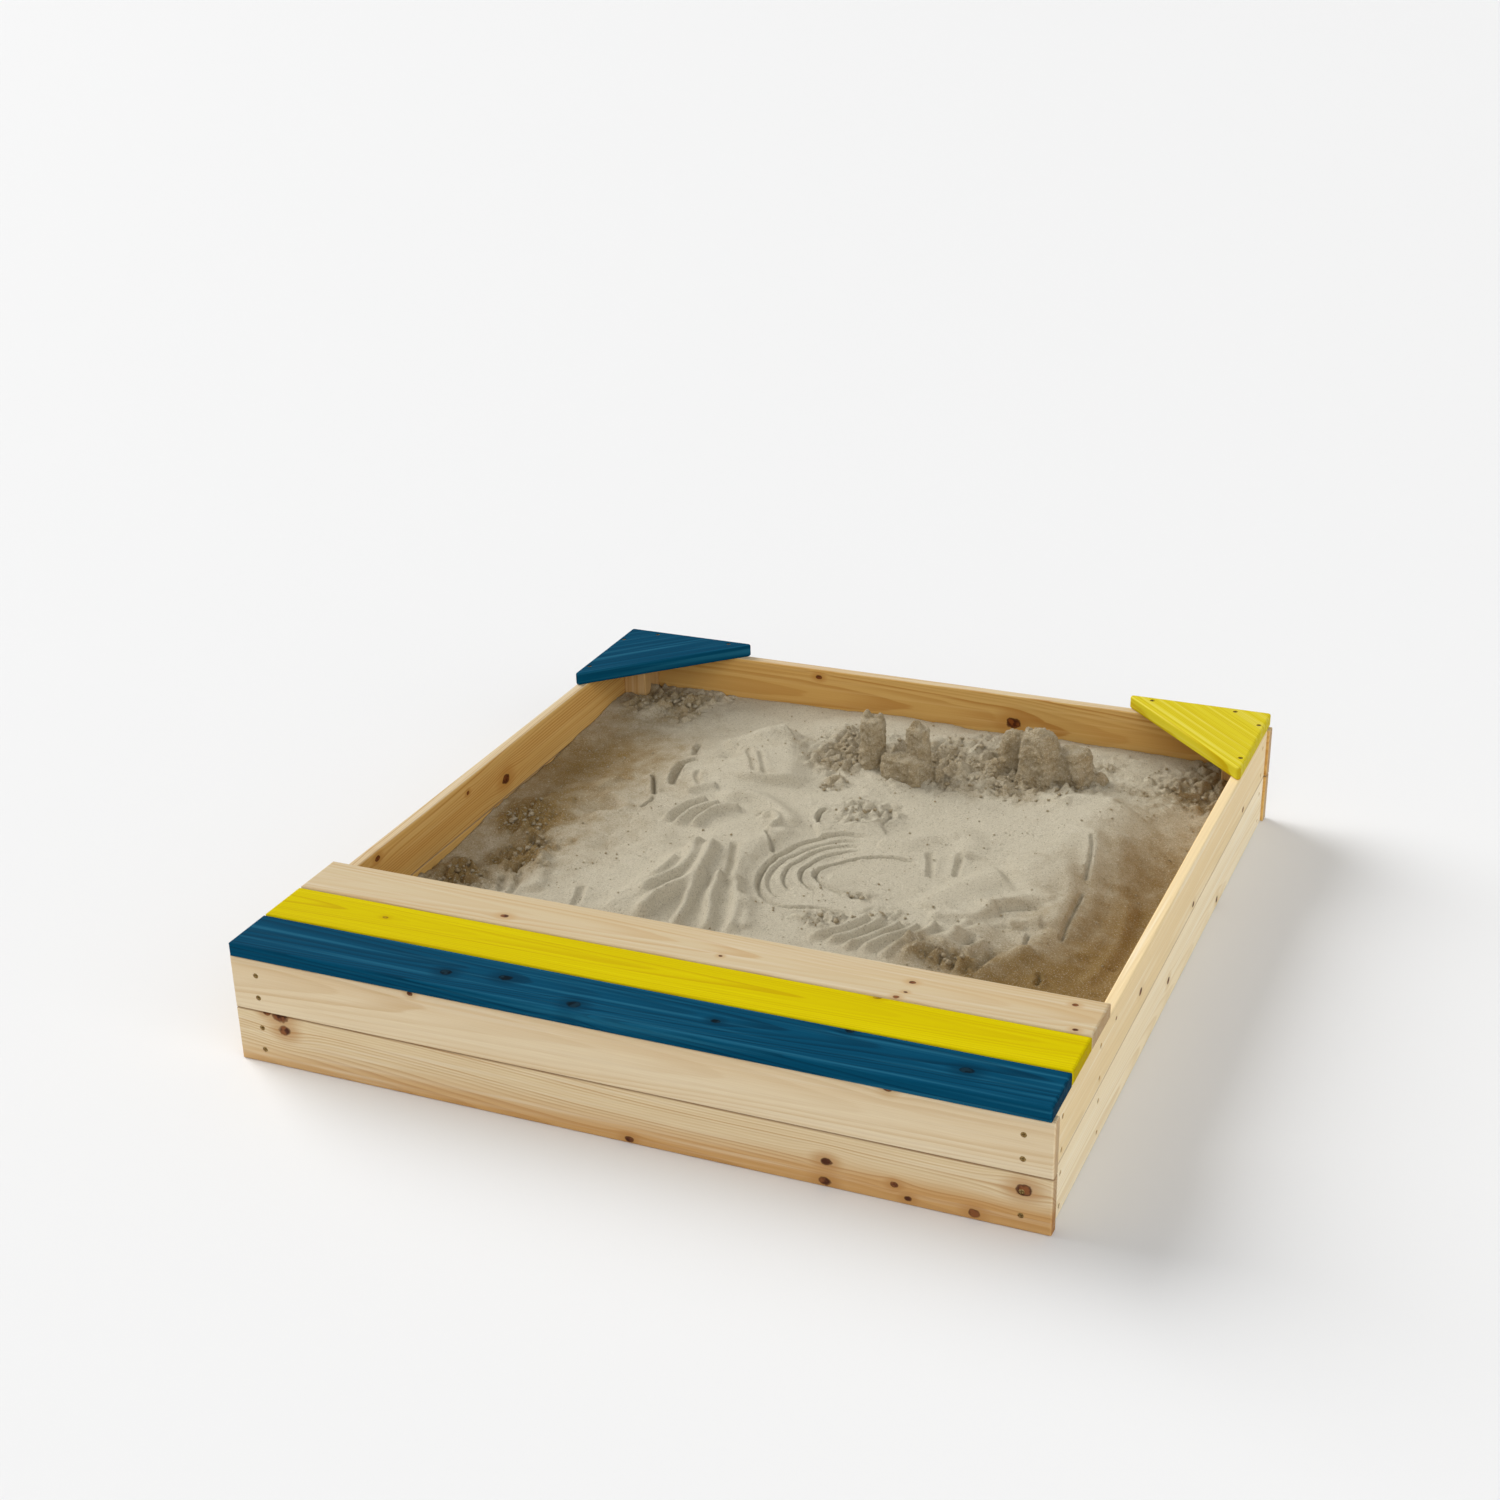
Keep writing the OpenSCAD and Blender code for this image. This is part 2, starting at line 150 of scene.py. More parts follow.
def softwood(name, grain, pith, tones, knots=(), through="Y", seed=0.0, ring=RING, heart=None,
             turn=0.0, inward=None, joint=None):
    """Sawn softwood, cut out of one solid log: growth rings round the pith, fibres along the grain,
    and branches that the rings flow round. pith is the log's middle in the two directions across
    the grain, knots are (place along the board, place across it, radius), and through is the
    direction in which the branches cross the board. heart is how far across the board its darker
    heartwood reaches, in its middle and more per metre along it. The face that looks inward gets
    painted shade and warm bounce light, a warm brown darkening, and painted shadow darkens the
    groove at the joint's height."""
    finish, tree, shader = start_finish(name)
    place = add(tree, "TexCoord", {}, "Object")
    facing = add(tree, "TexCoord", {}, "Normal")
    if turn:
        place = add(tree, "VectorRotate", {"Vector": place, "Angle": turn}, rotation_type="Z_AXIS")
        facing = add(tree, "VectorRotate", {"Vector": facing, "Angle": turn}, rotation_type="Z_AXIS")
    sides = [side for side in "XYZ" if side != grain]
    along_board, p, q = split(tree, place, [grain, *sides])
    log_place = add(tree, "CombineXYZ", {0: along_board, 1: p, 2: q})
    log_place = move(tree, "ADD", log_place, (seed * SEED_ALONG, 0.0, 0.0))
    seed_place = move(tree, "ADD", log_place, tuple(seed * shift for shift in SEED_ACROSS))

    # The trunk isn't straight: its rings wander a little along the board
    wander = grain_noise(tree, seed_place, 1.3, 8.0, 1.0, "Color")
    wander = move(tree, "SUBTRACT", wander, (0.5, 0.5, 0.5))
    wander = move(tree, "MULTIPLY", wander, (0.0, 0.022, 0.022))
    log_place = move(tree, "ADD", log_place, wander)
    length, p, q = split(tree, log_place)

    # Each branch pushes the rings aside and has fine rings of its own
    sideways = through == sides[0]
    across = q if sideways else p
    depth = p if sideways else q
    board_face = add(tree, "CombineXYZ", {0: length, 1: across})
    push = (0.0, 0.0, 0.0)
    nearest = 9.0
    for along, aside, radius in knots:
        away = move(tree, "SUBTRACT", board_face, (along + seed * SEED_ALONG, aside, 0.0))
        reach = move(tree, "MULTIPLY", away, (0.22 / radius, 0.5 / radius, 0.0))
        fall = calc(tree, "EXPONENT", calc(tree, "MULTIPLY", dot(tree, reach, reach), -1.0))
        push = move(tree, "ADD", push, scale(tree, away, fall))
        round_it = move(tree, "MULTIPLY", away, (0.85 / radius, 1.15 / radius, 0.0))
        nearest = calc(tree, "MINIMUM", nearest, length_of(tree, round_it))
    bent = move(tree, "SUBTRACT", board_face, scale(tree, push, 0.86))
    across = split(tree, bent, "Y")[0]
    p, q = (depth, across) if sideways else (across, depth)

    # The year rings, wider and narrower from year to year, in a trunk that tapers
    from_pith = {0: calc(tree, "SUBTRACT", p, pith[0]), 1: calc(tree, "SUBTRACT", q, pith[1])}
    radius = length_of(tree, add(tree, "CombineXYZ", from_pith))
    radius = calc(tree, "ADD", radius, calc(tree, "MULTIPLY", length, TAPER))
    waver = grain_noise(tree, seed_place, 5.0, 60.0, 2.0)
    years = calc(tree, "ADD", calc(tree, "DIVIDE", radius, ring), calc(tree, "MULTIPLY", waver, 0.7))
    season = calc(tree, "FRACT", years)
    late = calc(tree, "MULTIPLY", ease(tree, season, 0.2, 0.86), ease(tree, season, 1.0, 0.9))
    good_year = add(tree, "TexWhiteNoise", {"W": calc(tree, "FLOOR", years)}, noise_dimensions="1D")
    late = calc(tree, "MULTIPLY", late, ease(tree, good_year, 0.0, 1.0, 0.25, 1.0))
    line = calc(tree, "MULTIPLY", late, tones["contrast"])

    # Fine fibres, longer streaks of them, and broad bands of darker wood
    fibre = grain_noise(tree, seed_place, 9.0, 900.0, 3.0)
    streak = grain_noise(tree, seed_place, 2.2, 120.0, 3.0)
    band = grain_noise(tree, seed_place, 0.7, 15.0, 2.0)

    heart_share = ease(tree, band, 0.30, 0.80, 0.0, 0.5)
    if heart:
        edge = calc(tree, "SUBTRACT", across, calc(tree, "MULTIPLY", along_board, heart[1]))
        edge = calc(tree, "ADD", edge, calc(tree, "MULTIPLY", band, 0.04))
        heart_share = ease(tree, edge, heart[0], heart[0] + 0.045, 0.9, 0.0)
    colour = over(tree, heart_share, tones["early"], tones["heart"])
    colour = over(tree, line, colour, tones["late"])
    colour = over(tree, ease(tree, streak, 0.48, 0.72, 0.0, 0.45), colour, tones["fibre"])
    colour = over(tree, ease(tree, fibre, 0.35, 0.7, 0.16, 0.0), colour, tones["late"])
    if knots:
        torn = add(tree, "TexNoise", {"Vector": seed_place, "Scale": 85.0, "Detail": 3.0})
        torn = calc(tree, "SUBTRACT", torn, 0.5)
        rough_edge = calc(tree, "ADD", nearest, calc(tree, "MULTIPLY", torn, 0.9))
        colour = over(tree, ease(tree, nearest, 3.4, 0.9, 0.0, 0.6), colour, tones["late"])
        wood = over(tree, ease(tree, torn, -0.12, 0.08), tones["knot"], tones["bark"])
        colour = over(tree, ease(tree, rough_edge, 1.05, 0.62), colour, wood)
        rim = calc(tree, "ABSOLUTE", calc(tree, "SUBTRACT", rough_edge, 0.82))
        rim = calc(tree, "MULTIPLY", ease(tree, rim, 0.22, 0.02), ease(tree, band, 0.3, 0.7, 0.35, 0.9))
        colour = over(tree, rim, colour, tones["bark"])
    along_grain = dot(tree, facing, tuple(float(side == grain) for side in "XYZ"))
    end_grain = ease(tree, calc(tree, "ABSOLUTE", along_grain), 0.6, 0.9)
    colour = over(tree, calc(tree, "MULTIPLY", end_grain, 0.45), colour, tones["late"], "MULTIPLY")
    if inward:
        # Painted shade and warm bounce light: the face that looks inward is multiplied by a warm brown.
        painted_inner_shade = ease(tree, dot(tree, facing, inward), 0.5, 0.9)
        colour = over(tree, painted_inner_shade, colour, tint(255, 230, 172), "MULTIPLY")
    if joint:
        # Painted shadow: the wood darkens within a few millimetres of the joint's height, in the groove
        # between the boards.
        off_joint = calc(tree, "SUBTRACT", split(tree, place, "Z")[0], joint)
        painted_groove_shadow = ease(tree, calc(tree, "ABSOLUTE", off_joint), 0.0006, 0.0026, 0.5, 0.0)
        colour = over(tree, painted_groove_shadow, colour, tint(140, 104, 66), "MULTIPLY")
    tree.links.new(colour, shader.inputs["Base Color"])

    shader.inputs["Specular IOR Level"].default_value = tones["sheen"]
    rough = calc(tree, "ADD", calc(tree, "MULTIPLY", fibre, 0.16), tones["roughness"] - 0.08)
    rough = calc(tree, "SUBTRACT", rough, calc(tree, "MULTIPLY", late, 0.1))
    tree.links.new(rough, shader.inputs["Roughness"])
    relief = calc(tree, "ADD", calc(tree, "MULTIPLY", late, 0.5), calc(tree, "MULTIPLY", fibre, 0.6))
    emboss(tree, shader, relief, 0.5, 0.0004)
    return finish


def put_on(node, finish):
    """Puts one material on every slot of a CAD piece."""
    piece = cad_nodes[node]
    if not piece.material_slots:
        piece.data.materials.append(finish)
    for place in piece.material_slots:
        place.material = finish


half_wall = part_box("front_board_lower")[1].z
put_on("front_board_upper", softwood(
    "front_upper_wood", "X", (-0.700, 0.135), FRONT,
    [(0.375, 0.165, 0.006), (-0.303, 0.165, 0.004)], seed=1.0, joint=half_wall))
put_on("front_board_lower", softwood(
    "front_lower_wood", "X", (-0.682, -0.004), RUDDY,
    [(-0.540, 0.080, 0.006), (-0.518, 0.078, 0.011), (-0.512, 0.056, 0.009), (0.015, 0.006, 0.006),
     (0.293, 0.040, 0.0075), (0.292, 0.010, 0.008), (0.385, 0.028, 0.005), (0.403, 0.012, 0.005),
     (0.490, 0.012, 0.007), (0.553, 0.060, 0.010)],
    seed=2.0, heart=(0.028, 0.022), joint=half_wall))
put_on("back_board_upper", softwood(
    "back_upper_wood", "X", (0.700, 0.120), STRIPED, [(0.150, 0.118, 0.012), (-0.210, 0.150, 0.005)],
    seed=3.0, inward=(0.0, -1.0, 0.0), joint=half_wall))
put_on("back_board_lower", softwood(
    "back_lower_wood", "X", (0.690, 0.020), PLAIN, [(0.330, 0.040, 0.009), (-0.380, 0.028, 0.007)],
    seed=4.0, inward=(0.0, -1.0, 0.0), joint=half_wall))


# ---- Side walls -----------------------------------------------------------------------
# Two boards on each side, the same stock as the end walls. They are butted between the front
# and back walls, 5 mm in from their ends. The right side's boards are paler, partly their own
# wood and partly painted light for their brightly lit outer face.

# Partly the right boards' own paler tone, partly painted light standing in for the bright light on that
# side.
PALE_AND_LIT = dict(PLAIN, early=tint(250, 236, 204), late=tint(224, 198, 150), heart=tint(240, 218, 174),
            fibre=tint(254, 246, 226))
put_on("left_board_upper", softwood(
    "left_upper_wood", "Y", (-0.640, 0.200), STRIPED,
    [(0.112, 0.112, 0.011), (-0.012, 0.141, 0.004), (-0.287, 0.151, 0.006)], "X", 5.0,
    inward=(1.0, 0.0, 0.0), joint=half_wall))
put_on("left_board_lower", softwood(
    "left_lower_wood", "Y", (-0.630, 0.020), PLAIN, [(0.310, 0.050, 0.007), (-0.440, 0.030, 0.006)],
    "X", 6.0, inward=(1.0, 0.0, 0.0), joint=half_wall))
put_on("right_board_upper", softwood(
    "right_upper_wood", "Y", (0.640, 0.090), dict(PALE_AND_LIT, early=tint(236, 212, 166)),
    [(-0.205, 0.115, 0.007), (0.110, 0.094, 0.006), (0.455, 0.100, 0.005), (-0.340, 0.150, 0.003)],
    "X", 7.0, inward=(-1.0, 0.0, 0.0), joint=half_wall))
put_on("right_board_lower", softwood(
    "right_lower_wood", "Y", (0.630, 0.010), PALE_AND_LIT, [(-0.030, 0.036, 0.006), (0.290, 0.012, 0.006)],
    "X", 8.0, inward=(-1.0, 0.0, 0.0), joint=half_wall))


# ---- Corner posts ---------------------------------------------------------------------
# Four short posts, 42 by 58 mm, stand in the corners of the frame. Their grain stands up,
# and both walls are screwed to them from outside.

WARM = dict(PLAIN, early=tint(214, 180, 124), late=tint(182, 132, 76), heart=tint(196, 148, 90),
            fibre=tint(228, 202, 156), contrast=0.55)
CLOSE_RING = 0.0035
posts = ["post_front_left", "post_front_right", "post_back_left", "post_back_right"]
for number, node in enumerate(posts):
    put_on(node, softwood(node + "_wood", "Z", (0.0, 0.0), WARM, [], "X", 9.0 + number, CLOSE_RING))


# ---- Divider --------------------------------------------------------------------------
# Two boards part the sand from the storage space. They are screwed to two upright cleats,
# which are screwed to the side walls.

put_on("divider_board_upper", softwood(
    "divider_upper_wood", "X", (-0.420, 0.110), PLAIN, [(-0.150, 0.120, 0.007), (0.310, 0.140, 0.005)],
    seed=13.0))
put_on("divider_board_lower", softwood(
    "divider_lower_wood", "X", (-0.410, 0.030), WARM, [(0.080, 0.050, 0.008), (-0.420, 0.030, 0.006)],
    seed=14.0))
for number, node in enumerate(["divider_cleat_left", "divider_cleat_right"]):
    put_on(node, softwood(node + "_wood", "Z", (0.0, -0.380), WARM, [], "X", 15.0 + number, CLOSE_RING))


# ---- Corner seats ---------------------------------------------------------------------
# Two triangles of 22 mm board with rounded edges, stained so that the grain still shows, one
# blue and one yellow. The grain runs along the long edge, and four screws go down into the walls.

BLUE = {
    "early": tint(4, 70, 98),
    "late": tint(0, 44, 66),
    "heart": tint(0, 60, 86),
    "fibre": tint(44, 114, 142),
    "knot": tint(20, 44, 56),
    "bark": tint(8, 22, 30),
    "contrast": 0.75,
    "roughness": 0.65,
    "sheen": 0.02,
}
YELLOW = {
    "early": tint(208, 192, 0),
    "late": tint(188, 158, 0),
    "heart": tint(198, 176, 0),
    "fibre": tint(218, 204, 8),
    "knot": tint(180, 146, 20),
    "bark": tint(132, 98, 18),
    "contrast": 0.85,
    "roughness": 0.65,
    "sheen": 0.02,
}
FADED = dict(YELLOW, early=tint(214, 200, 48), heart=tint(206, 188, 30), fibre=tint(232, 222, 112))
SEAT_PITH = (0.02, 0.150)
LONG_EDGE = math.radians(45)
put_on("corner_seat_blue", softwood(
    "seat_blue_stain", "X", SEAT_PITH, BLUE, through="Z", seed=17.0, turn=-LONG_EDGE))
put_on("corner_seat_yellow", softwood(
    "seat_yellow_stain", "X", SEAT_PITH, FADED, through="Z", seed=18.0, turn=LONG_EDGE))


# ---- Bench lid ------------------------------------------------------------------------
# Three planks with rounded edges, left plain, stained yellow and stained blue, lie side by side
# over the storage space. Three battens are screwed to them from below.

put_on("bench_plank_natural", softwood(
    "plank_plain_wood", "X", (-0.425, 0.130),
    dict(PLAIN, early=tint(201, 184, 150), fibre=tint(214, 202, 178)),
    [(-0.264, -0.441, 0.006), (0.064, -0.441, 0.003), (0.329, -0.413, 0.0045), (0.329, -0.441, 0.003),
     (0.322, -0.458, 0.004), (0.544, -0.395, 0.004), (0.561, -0.455, 0.004)], "Z", 19.0))
put_on("bench_plank_yellow", softwood(
    "plank_yellow_stain", "X", (-0.505, 0.165), YELLOW,
    [(-0.419, -0.506, 0.004), (0.300, -0.470, 0.005)], "Z", 20.0))
put_on("bench_plank_blue", softwood(
    "plank_blue_stain", "X", (-0.590, 0.140), BLUE,
    [(-0.261, -0.608, 0.008), (-0.179, -0.594, 0.009), (-0.063, -0.626, 0.009), (0.127, -0.600, 0.006),
     (0.296, -0.560, 0.006), (0.464, -0.600, 0.009)], "Z", 21.0))
for number, node in enumerate(["lid_batten_left", "lid_batten_middle", "lid_batten_right"]):
    put_on(node, softwood(node + "_wood", "Y", (0.1, 0.10), WARM, [], "Z", 22.0 + number, CLOSE_RING))


# ---- Hinges ---------------------------------------------------------------------------
# Two steel butt hinges join the lid to the divider. They are bright zinc plated, with small
# countersunk screws, and the plating is a little cloudy.

def zinc_plate():
    """Bright zinc with a faint spangle."""
    finish, tree, shader = start_finish("zinc_plate")
    place = add(tree, "TexCoord", {}, "Object")
    cloud = add(tree, "TexNoise", {"Vector": place, "Scale": 240.0, "Detail": 4.0})
    spangle = add(tree, "TexVoronoi", {"Vector": place, "Scale": 420.0}, "Color")
    colour = over(tree, cloud, tint(150, 153, 156), tint(196, 199, 202))
    colour = over(tree, 0.08, colour, spangle, "OVERLAY")
    tree.links.new(colour, shader.inputs["Base Color"])
    shader.inputs["Metallic"].default_value = 1.0
    tree.links.new(ease(tree, cloud, 0.3, 0.7, 0.28, 0.46), shader.inputs["Roughness"])
    emboss(tree, shader, cloud, 0.2, 0.0001)
    return finish


zinc = zinc_plate()
for side in ["left", "right"]:
    for node in ["hinge_wall_leaf_", "hinge_lid_leaf_", "hinge_pin_"]:
        put_on(node + side, zinc)
for node in ["hinge_wall_screws", "hinge_lid_screws"]:
    put_on(node, zinc)


# ---- Screws ---------------------------------------------------------------------------
# Yellow-passivated countersunk wood screws with cross recesses. They are driven 1 mm below the
# surface, and the passivation is cloudy, dark in some places and bright in others.

def yellow_zinc():
    """Zinc passivated yellow."""
    finish, tree, shader = start_finish("yellow_zinc")
    place = add(tree, "TexCoord", {}, "Object")
    cloud = add(tree, "TexNoise", {"Vector": place, "Scale": 600.0, "Detail": 3.0})
    colour = over(tree, ease(tree, cloud, 0.35, 0.65), tint(126, 96, 52), tint(172, 148, 98))
    tree.links.new(colour, shader.inputs["Base Color"])
    shader.inputs["Metallic"].default_value = 1.0
    tree.links.new(ease(tree, cloud, 0.3, 0.7, 0.3, 0.5), shader.inputs["Roughness"])
    emboss(tree, shader, cloud, 0.2, 0.0001)
    return finish


brassy = yellow_zinc()
for group in ["front_wall", "back_wall", "left_wall", "right_wall", "divider", "batten"]:
    put_on(group + "_screws", brassy)
for colour in ["blue", "yellow"]:
    put_on("seat_screws_" + colour, brassy)


# ---- Ground sheet ---------------------------------------------------------------------
# A loosely woven ground sheet, 0.8 mm thick, lies flat on the ground inside the walls and keeps
# weeds out of the sand. It is creased where it lies free, in the storage space.

SHEET_STEP = 0.006
SHEET_THICK = 0.0008
CREASE_REACH = (0.007, 0.011)


def grid_steps(stops, step):
    """Places from the first stop to the last, about a step apart, with every stop among them."""
    places = [stops[0]]
    for start, end in zip(stops, stops[1:]):
        count = max(1, round((end - start) / step))
        places.extend(start + (end - start) * (k + 1) / count for k in range(count))
    return np.array(places)


def drag(height, xs, ys, route, width, rise, other_width=0.0, rim=0.0, fade=0.12):
    """Draws one stroke into a height map, along a smooth line through the route's points. rise is its
    height, below zero for a groove. width is its reach on the left of the line, and other_width its
    reach on the right. rim is the height of the loose banks beside a groove, and fade the share of
    the stroke over which each end dies away."""
    other_width = other_width or width
    points = np.array([route[0], *route, route[-1]], float)
    line = []
    for a, b, c, d in zip(points, points[1:], points[2:], points[3:]):
        for t in np.arange(0.0, 1.0, 0.125):
            bend = (2 * a - 5 * b + 4 * c - d) * t ** 2 + (3 * b - a - 3 * c + d) * t ** 3
            line.append(b + 0.5 * ((c - a) * t + bend))
    line = np.array([*line, points[-1]])
    reach = 3.2 * max(width, other_width)
    low, high = line.min(0) - reach, line.max(0) + reach
    columns = np.nonzero((xs > low[0]) & (xs < high[0]))[0]
    rows = np.nonzero((ys > low[1]) & (ys < high[1]))[0]
    if not len(columns) or not len(rows):
        return
    patch = np.ix_(rows, columns)
    x, y = np.meshgrid(xs[columns], ys[rows])
    best = np.full(x.shape, 1e9)
    side = np.zeros(x.shape)
    share = np.zeros(x.shape)
    count = len(line) - 1
    for k in range(count):
        (ax, ay), (bx, by) = line[k], line[k + 1]
        dx, dy = bx - ax, by - ay
        length = max(math.hypot(dx, dy), 1e-9)
        t = np.clip(((x - ax) * dx + (y - ay) * dy) / length ** 2, 0.0, 1.0)
        far = np.hypot(x - ax - t * dx, y - ay - t * dy)
        closer = far < best
        best = np.where(closer, far, best)
        side = np.where(closer, (dy * (x - ax) - dx * (y - ay)) / length, side)
        share = np.where(closer, (k + t) / count, share)
    turn = np.clip(side / np.maximum(best, 1e-9), -1.0, 1.0)
    reach = width + (other_width - width) * (0.5 + 0.5 * turn)
    far = best / reach
    shape = rise * np.exp(-far ** 2)
    if rim:
        bank = rim * np.exp(-np.maximum(far - 1.0, 0.0) / 0.9)
        shape = np.where(far < 1.0, rise + (rim - rise) * far ** 1.5, bank)
    ends = np.clip(np.minimum(share, 1.0 - share) / fade, 0.0, 1.0)
    shape = shape * ends * ends * (3.0 - 2.0 * ends)
    height[patch] += shape


def mesh_piece(name, points, faces):
    """A new object from points and faces, in the row frame."""
    mesh = bpy.data.meshes.new(name)
    mesh.from_pydata([tuple(p) for p in points], [], [tuple(f) for f in faces])
    mesh.validate()
    mesh.update()
    mesh.polygons.foreach_set("use_smooth", [True] * len(mesh.polygons))
    piece = bpy.data.objects.new(name, mesh)
    bpy.context.scene.collection.objects.link(piece)
    return piece


def grid_faces(rows, columns):
    """Quads over a grid of points that is numbered row by row."""
    corner = np.arange(rows * columns).reshape(rows, columns)
    quads = [corner[:-1, :-1], corner[:-1, 1:], corner[1:, 1:], corner[1:, :-1]]
    return np.stack([q.ravel() for q in quads], 1)


def thicken(piece, thickness):
    """Gives a surface its cloth's thickness, downwards from its face."""
    shell = piece.modifiers.new("cloth", "SOLIDIFY")
    shell.thickness = thickness
    shell.offset = -1.0


def woven(name, warp, weft, threads, roughness):
    """Flat tapes woven over and under each other, so many to a metre."""
    finish, tree, shader = start_finish(name)
    place = add(tree, "TexCoord", {}, "UV")
    warp_way, weft_way = split(tree, place, "XY")
    columns = calc(tree, "MULTIPLY", warp_way, threads)
    rows = calc(tree, "MULTIPLY", weft_way, threads)
    turn = calc(tree, "ADD", calc(tree, "FLOOR", columns), calc(tree, "FLOOR", rows))
    over_under = calc(tree, "PINGPONG", turn, 1.0)
    crown_a = calc(tree, "SINE", calc(tree, "MULTIPLY", calc(tree, "FRACT", columns), math.pi))
    crown_b = calc(tree, "SINE", calc(tree, "MULTIPLY", calc(tree, "FRACT", rows), math.pi))
    level = add(tree, "Mix", {0: over_under, 2: crown_a, 3: crown_b})
    spot = add(tree, "TexCoord", {}, "Object")
    dust = add(tree, "TexNoise", {"Vector": spot, "Scale": 60.0, "Detail": 9.0, "Roughness": 0.75})
    colour = over(tree, over_under, warp, weft)
    # Painted shade: near-black mixed in where the tapes dip, in the hollows between them.
    colour = over(tree, ease(tree, level, 0.1, 0.7, 0.55, 0.0), colour, (0.01, 0.01, 0.01, 1.0))
    colour = over(tree, ease(tree, dust, 0.46, 0.80, 0.0, 0.45), colour, tint(168, 156, 130))
    tree.links.new(colour, shader.inputs["Base Color"])
    shader.inputs["Roughness"].default_value = roughness
    emboss(tree, shader, level, 0.7, 0.0003)
    return finish


def lay_uv(piece, flat_places):
    """Stores where each point lay on the flat cloth, in metres, so that the weave follows it."""
    layer = piece.data.uv_layers.new(name="flat")
    corners = np.zeros(len(piece.data.loops), int)
    piece.data.loops.foreach_get("vertex_index", corners)
    layer.data.foreach_set("uv", np.asarray(flat_places, float)[corners].ravel())


sheet_low, sheet_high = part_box("ground_sheet")
cover_low, cover_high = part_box("stowed_cover")
divider_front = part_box("divider_board_lower")[0].y
sheet_xs = grid_steps([sheet_low.x, sheet_high.x], SHEET_STEP)
sheet_ys = grid_steps([sheet_low.y, divider_front, sheet_high.y], SHEET_STEP)
creases = np.zeros((len(sheet_ys), len(sheet_xs)))
for route, rise in [
    ([(0.02, -0.60), (0.09, -0.52), (0.13, -0.43)], 0.0050),
    ([(0.16, -0.615), (0.22, -0.53), (0.36, -0.47), (0.44, -0.42)], 0.0060),
    ([(0.30, -0.61), (0.37, -0.56), (0.50, -0.54), (0.56, -0.50)], 0.0045),
    ([(-0.06, -0.43), (0.06, -0.47), (0.20, -0.47)], 0.0035),
    ([(0.42, -0.615), (0.47, -0.58), (0.55, -0.58)], 0.0040),
    ([(-0.53, -0.60), (-0.51, -0.50), (-0.53, -0.41)], 0.0040),
]:
    drag(creases, sheet_xs, sheet_ys, route, CREASE_REACH[0], rise, CREASE_REACH[1])
x, y = np.meshgrid(sheet_xs, sheet_ys)
free = np.clip((divider_front - 0.004 - y) / 0.012, 0.0, 1.0)
top = sheet_low.z + SHEET_THICK + creases * free
ground = mesh_piece("woven_ground_sheet", np.stack([x.ravel(), y.ravel(), top.ravel()], 1),
                    grid_faces(*x.shape))
lay_uv(ground, np.stack([x.ravel() - sheet_low.x, y.ravel() - sheet_low.y], 1))
thicken(ground, SHEET_THICK)
ground.data.materials.append(woven("ground_sheet_weave", tint(58, 60, 60), tint(72, 74, 72), 500.0, 0.7))
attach(ground, "frame")
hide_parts("ground_sheet")


# ---- Sand -----------------------------------------------------------------------------
# Washed play sand fills the box behind the divider to about half the height of the walls.
# Hands have drawn swirls and furrows in it, and it is damp and clumpy round the sandcastles.

SAND_STEP = 0.0028
SAND_LEVEL = 92.0
MM = 0.001
POST_GAP = 0.0003


def rolling_noise(x, y, size, seed, octaves=3):
    """Smooth noise about zero, from -1 to 1, whose features are about so large. Each octave is
    twice as fine and half as strong."""
    total = np.zeros(x.shape)
    strength = 1.0
    for octave in range(octaves):
        dice = np.random.default_rng(seed + 31 * octave)
        lattice = dice.uniform(-1.0, 1.0, (256, 256))
        u, v = x / size + 100.0, y / size + 100.0
        i, j = np.floor(u).astype(int), np.floor(v).astype(int)
        s, t = u - i, v - j
        s, t = s * s * (3 - 2 * s), t * t * (3 - 2 * t)
        near = lattice[i % 256, j % 256] * (1 - s) + lattice[(i + 1) % 256, j % 256] * s
        far = lattice[i % 256, (j + 1) % 256] * (1 - s) + lattice[(i + 1) % 256, (j + 1) % 256] * s
        total += strength * (near * (1 - t) + far * t)
        size *= 0.5
        strength *= 0.5
    return total


def heap(x, y, place, reach, turn=0.0):
    """A round hill, 1 at its place, that falls off over its reach in the two directions. Its place
    and reach are in millimetres."""
    dx, dy = x - place[0] * MM, y - place[1] * MM
    c, s = math.cos(math.radians(turn)), math.sin(math.radians(turn))
    u, v = (dx * c + dy * s) / (reach[0] * MM), (dy * c - dx * s) / (reach[1] * MM)
    return np.exp(-u * u - v * v)


sand_low, sand_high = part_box("sand_bed")
post_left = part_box("post_back_left")
post_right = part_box("post_back_right")
notch_left = post_left[1].x + POST_GAP
notch_right = post_right[0].x - POST_GAP
notch_y = post_left[0].y - POST_GAP
xs = grid_steps([sand_low.x, notch_left, notch_right, sand_high.x], SAND_STEP)
ys = grid_steps([sand_low.y, notch_y, sand_high.y], SAND_STEP)
xs_mm, ys_mm = xs / MM, ys / MM
x, y = np.meshgrid(xs, ys)

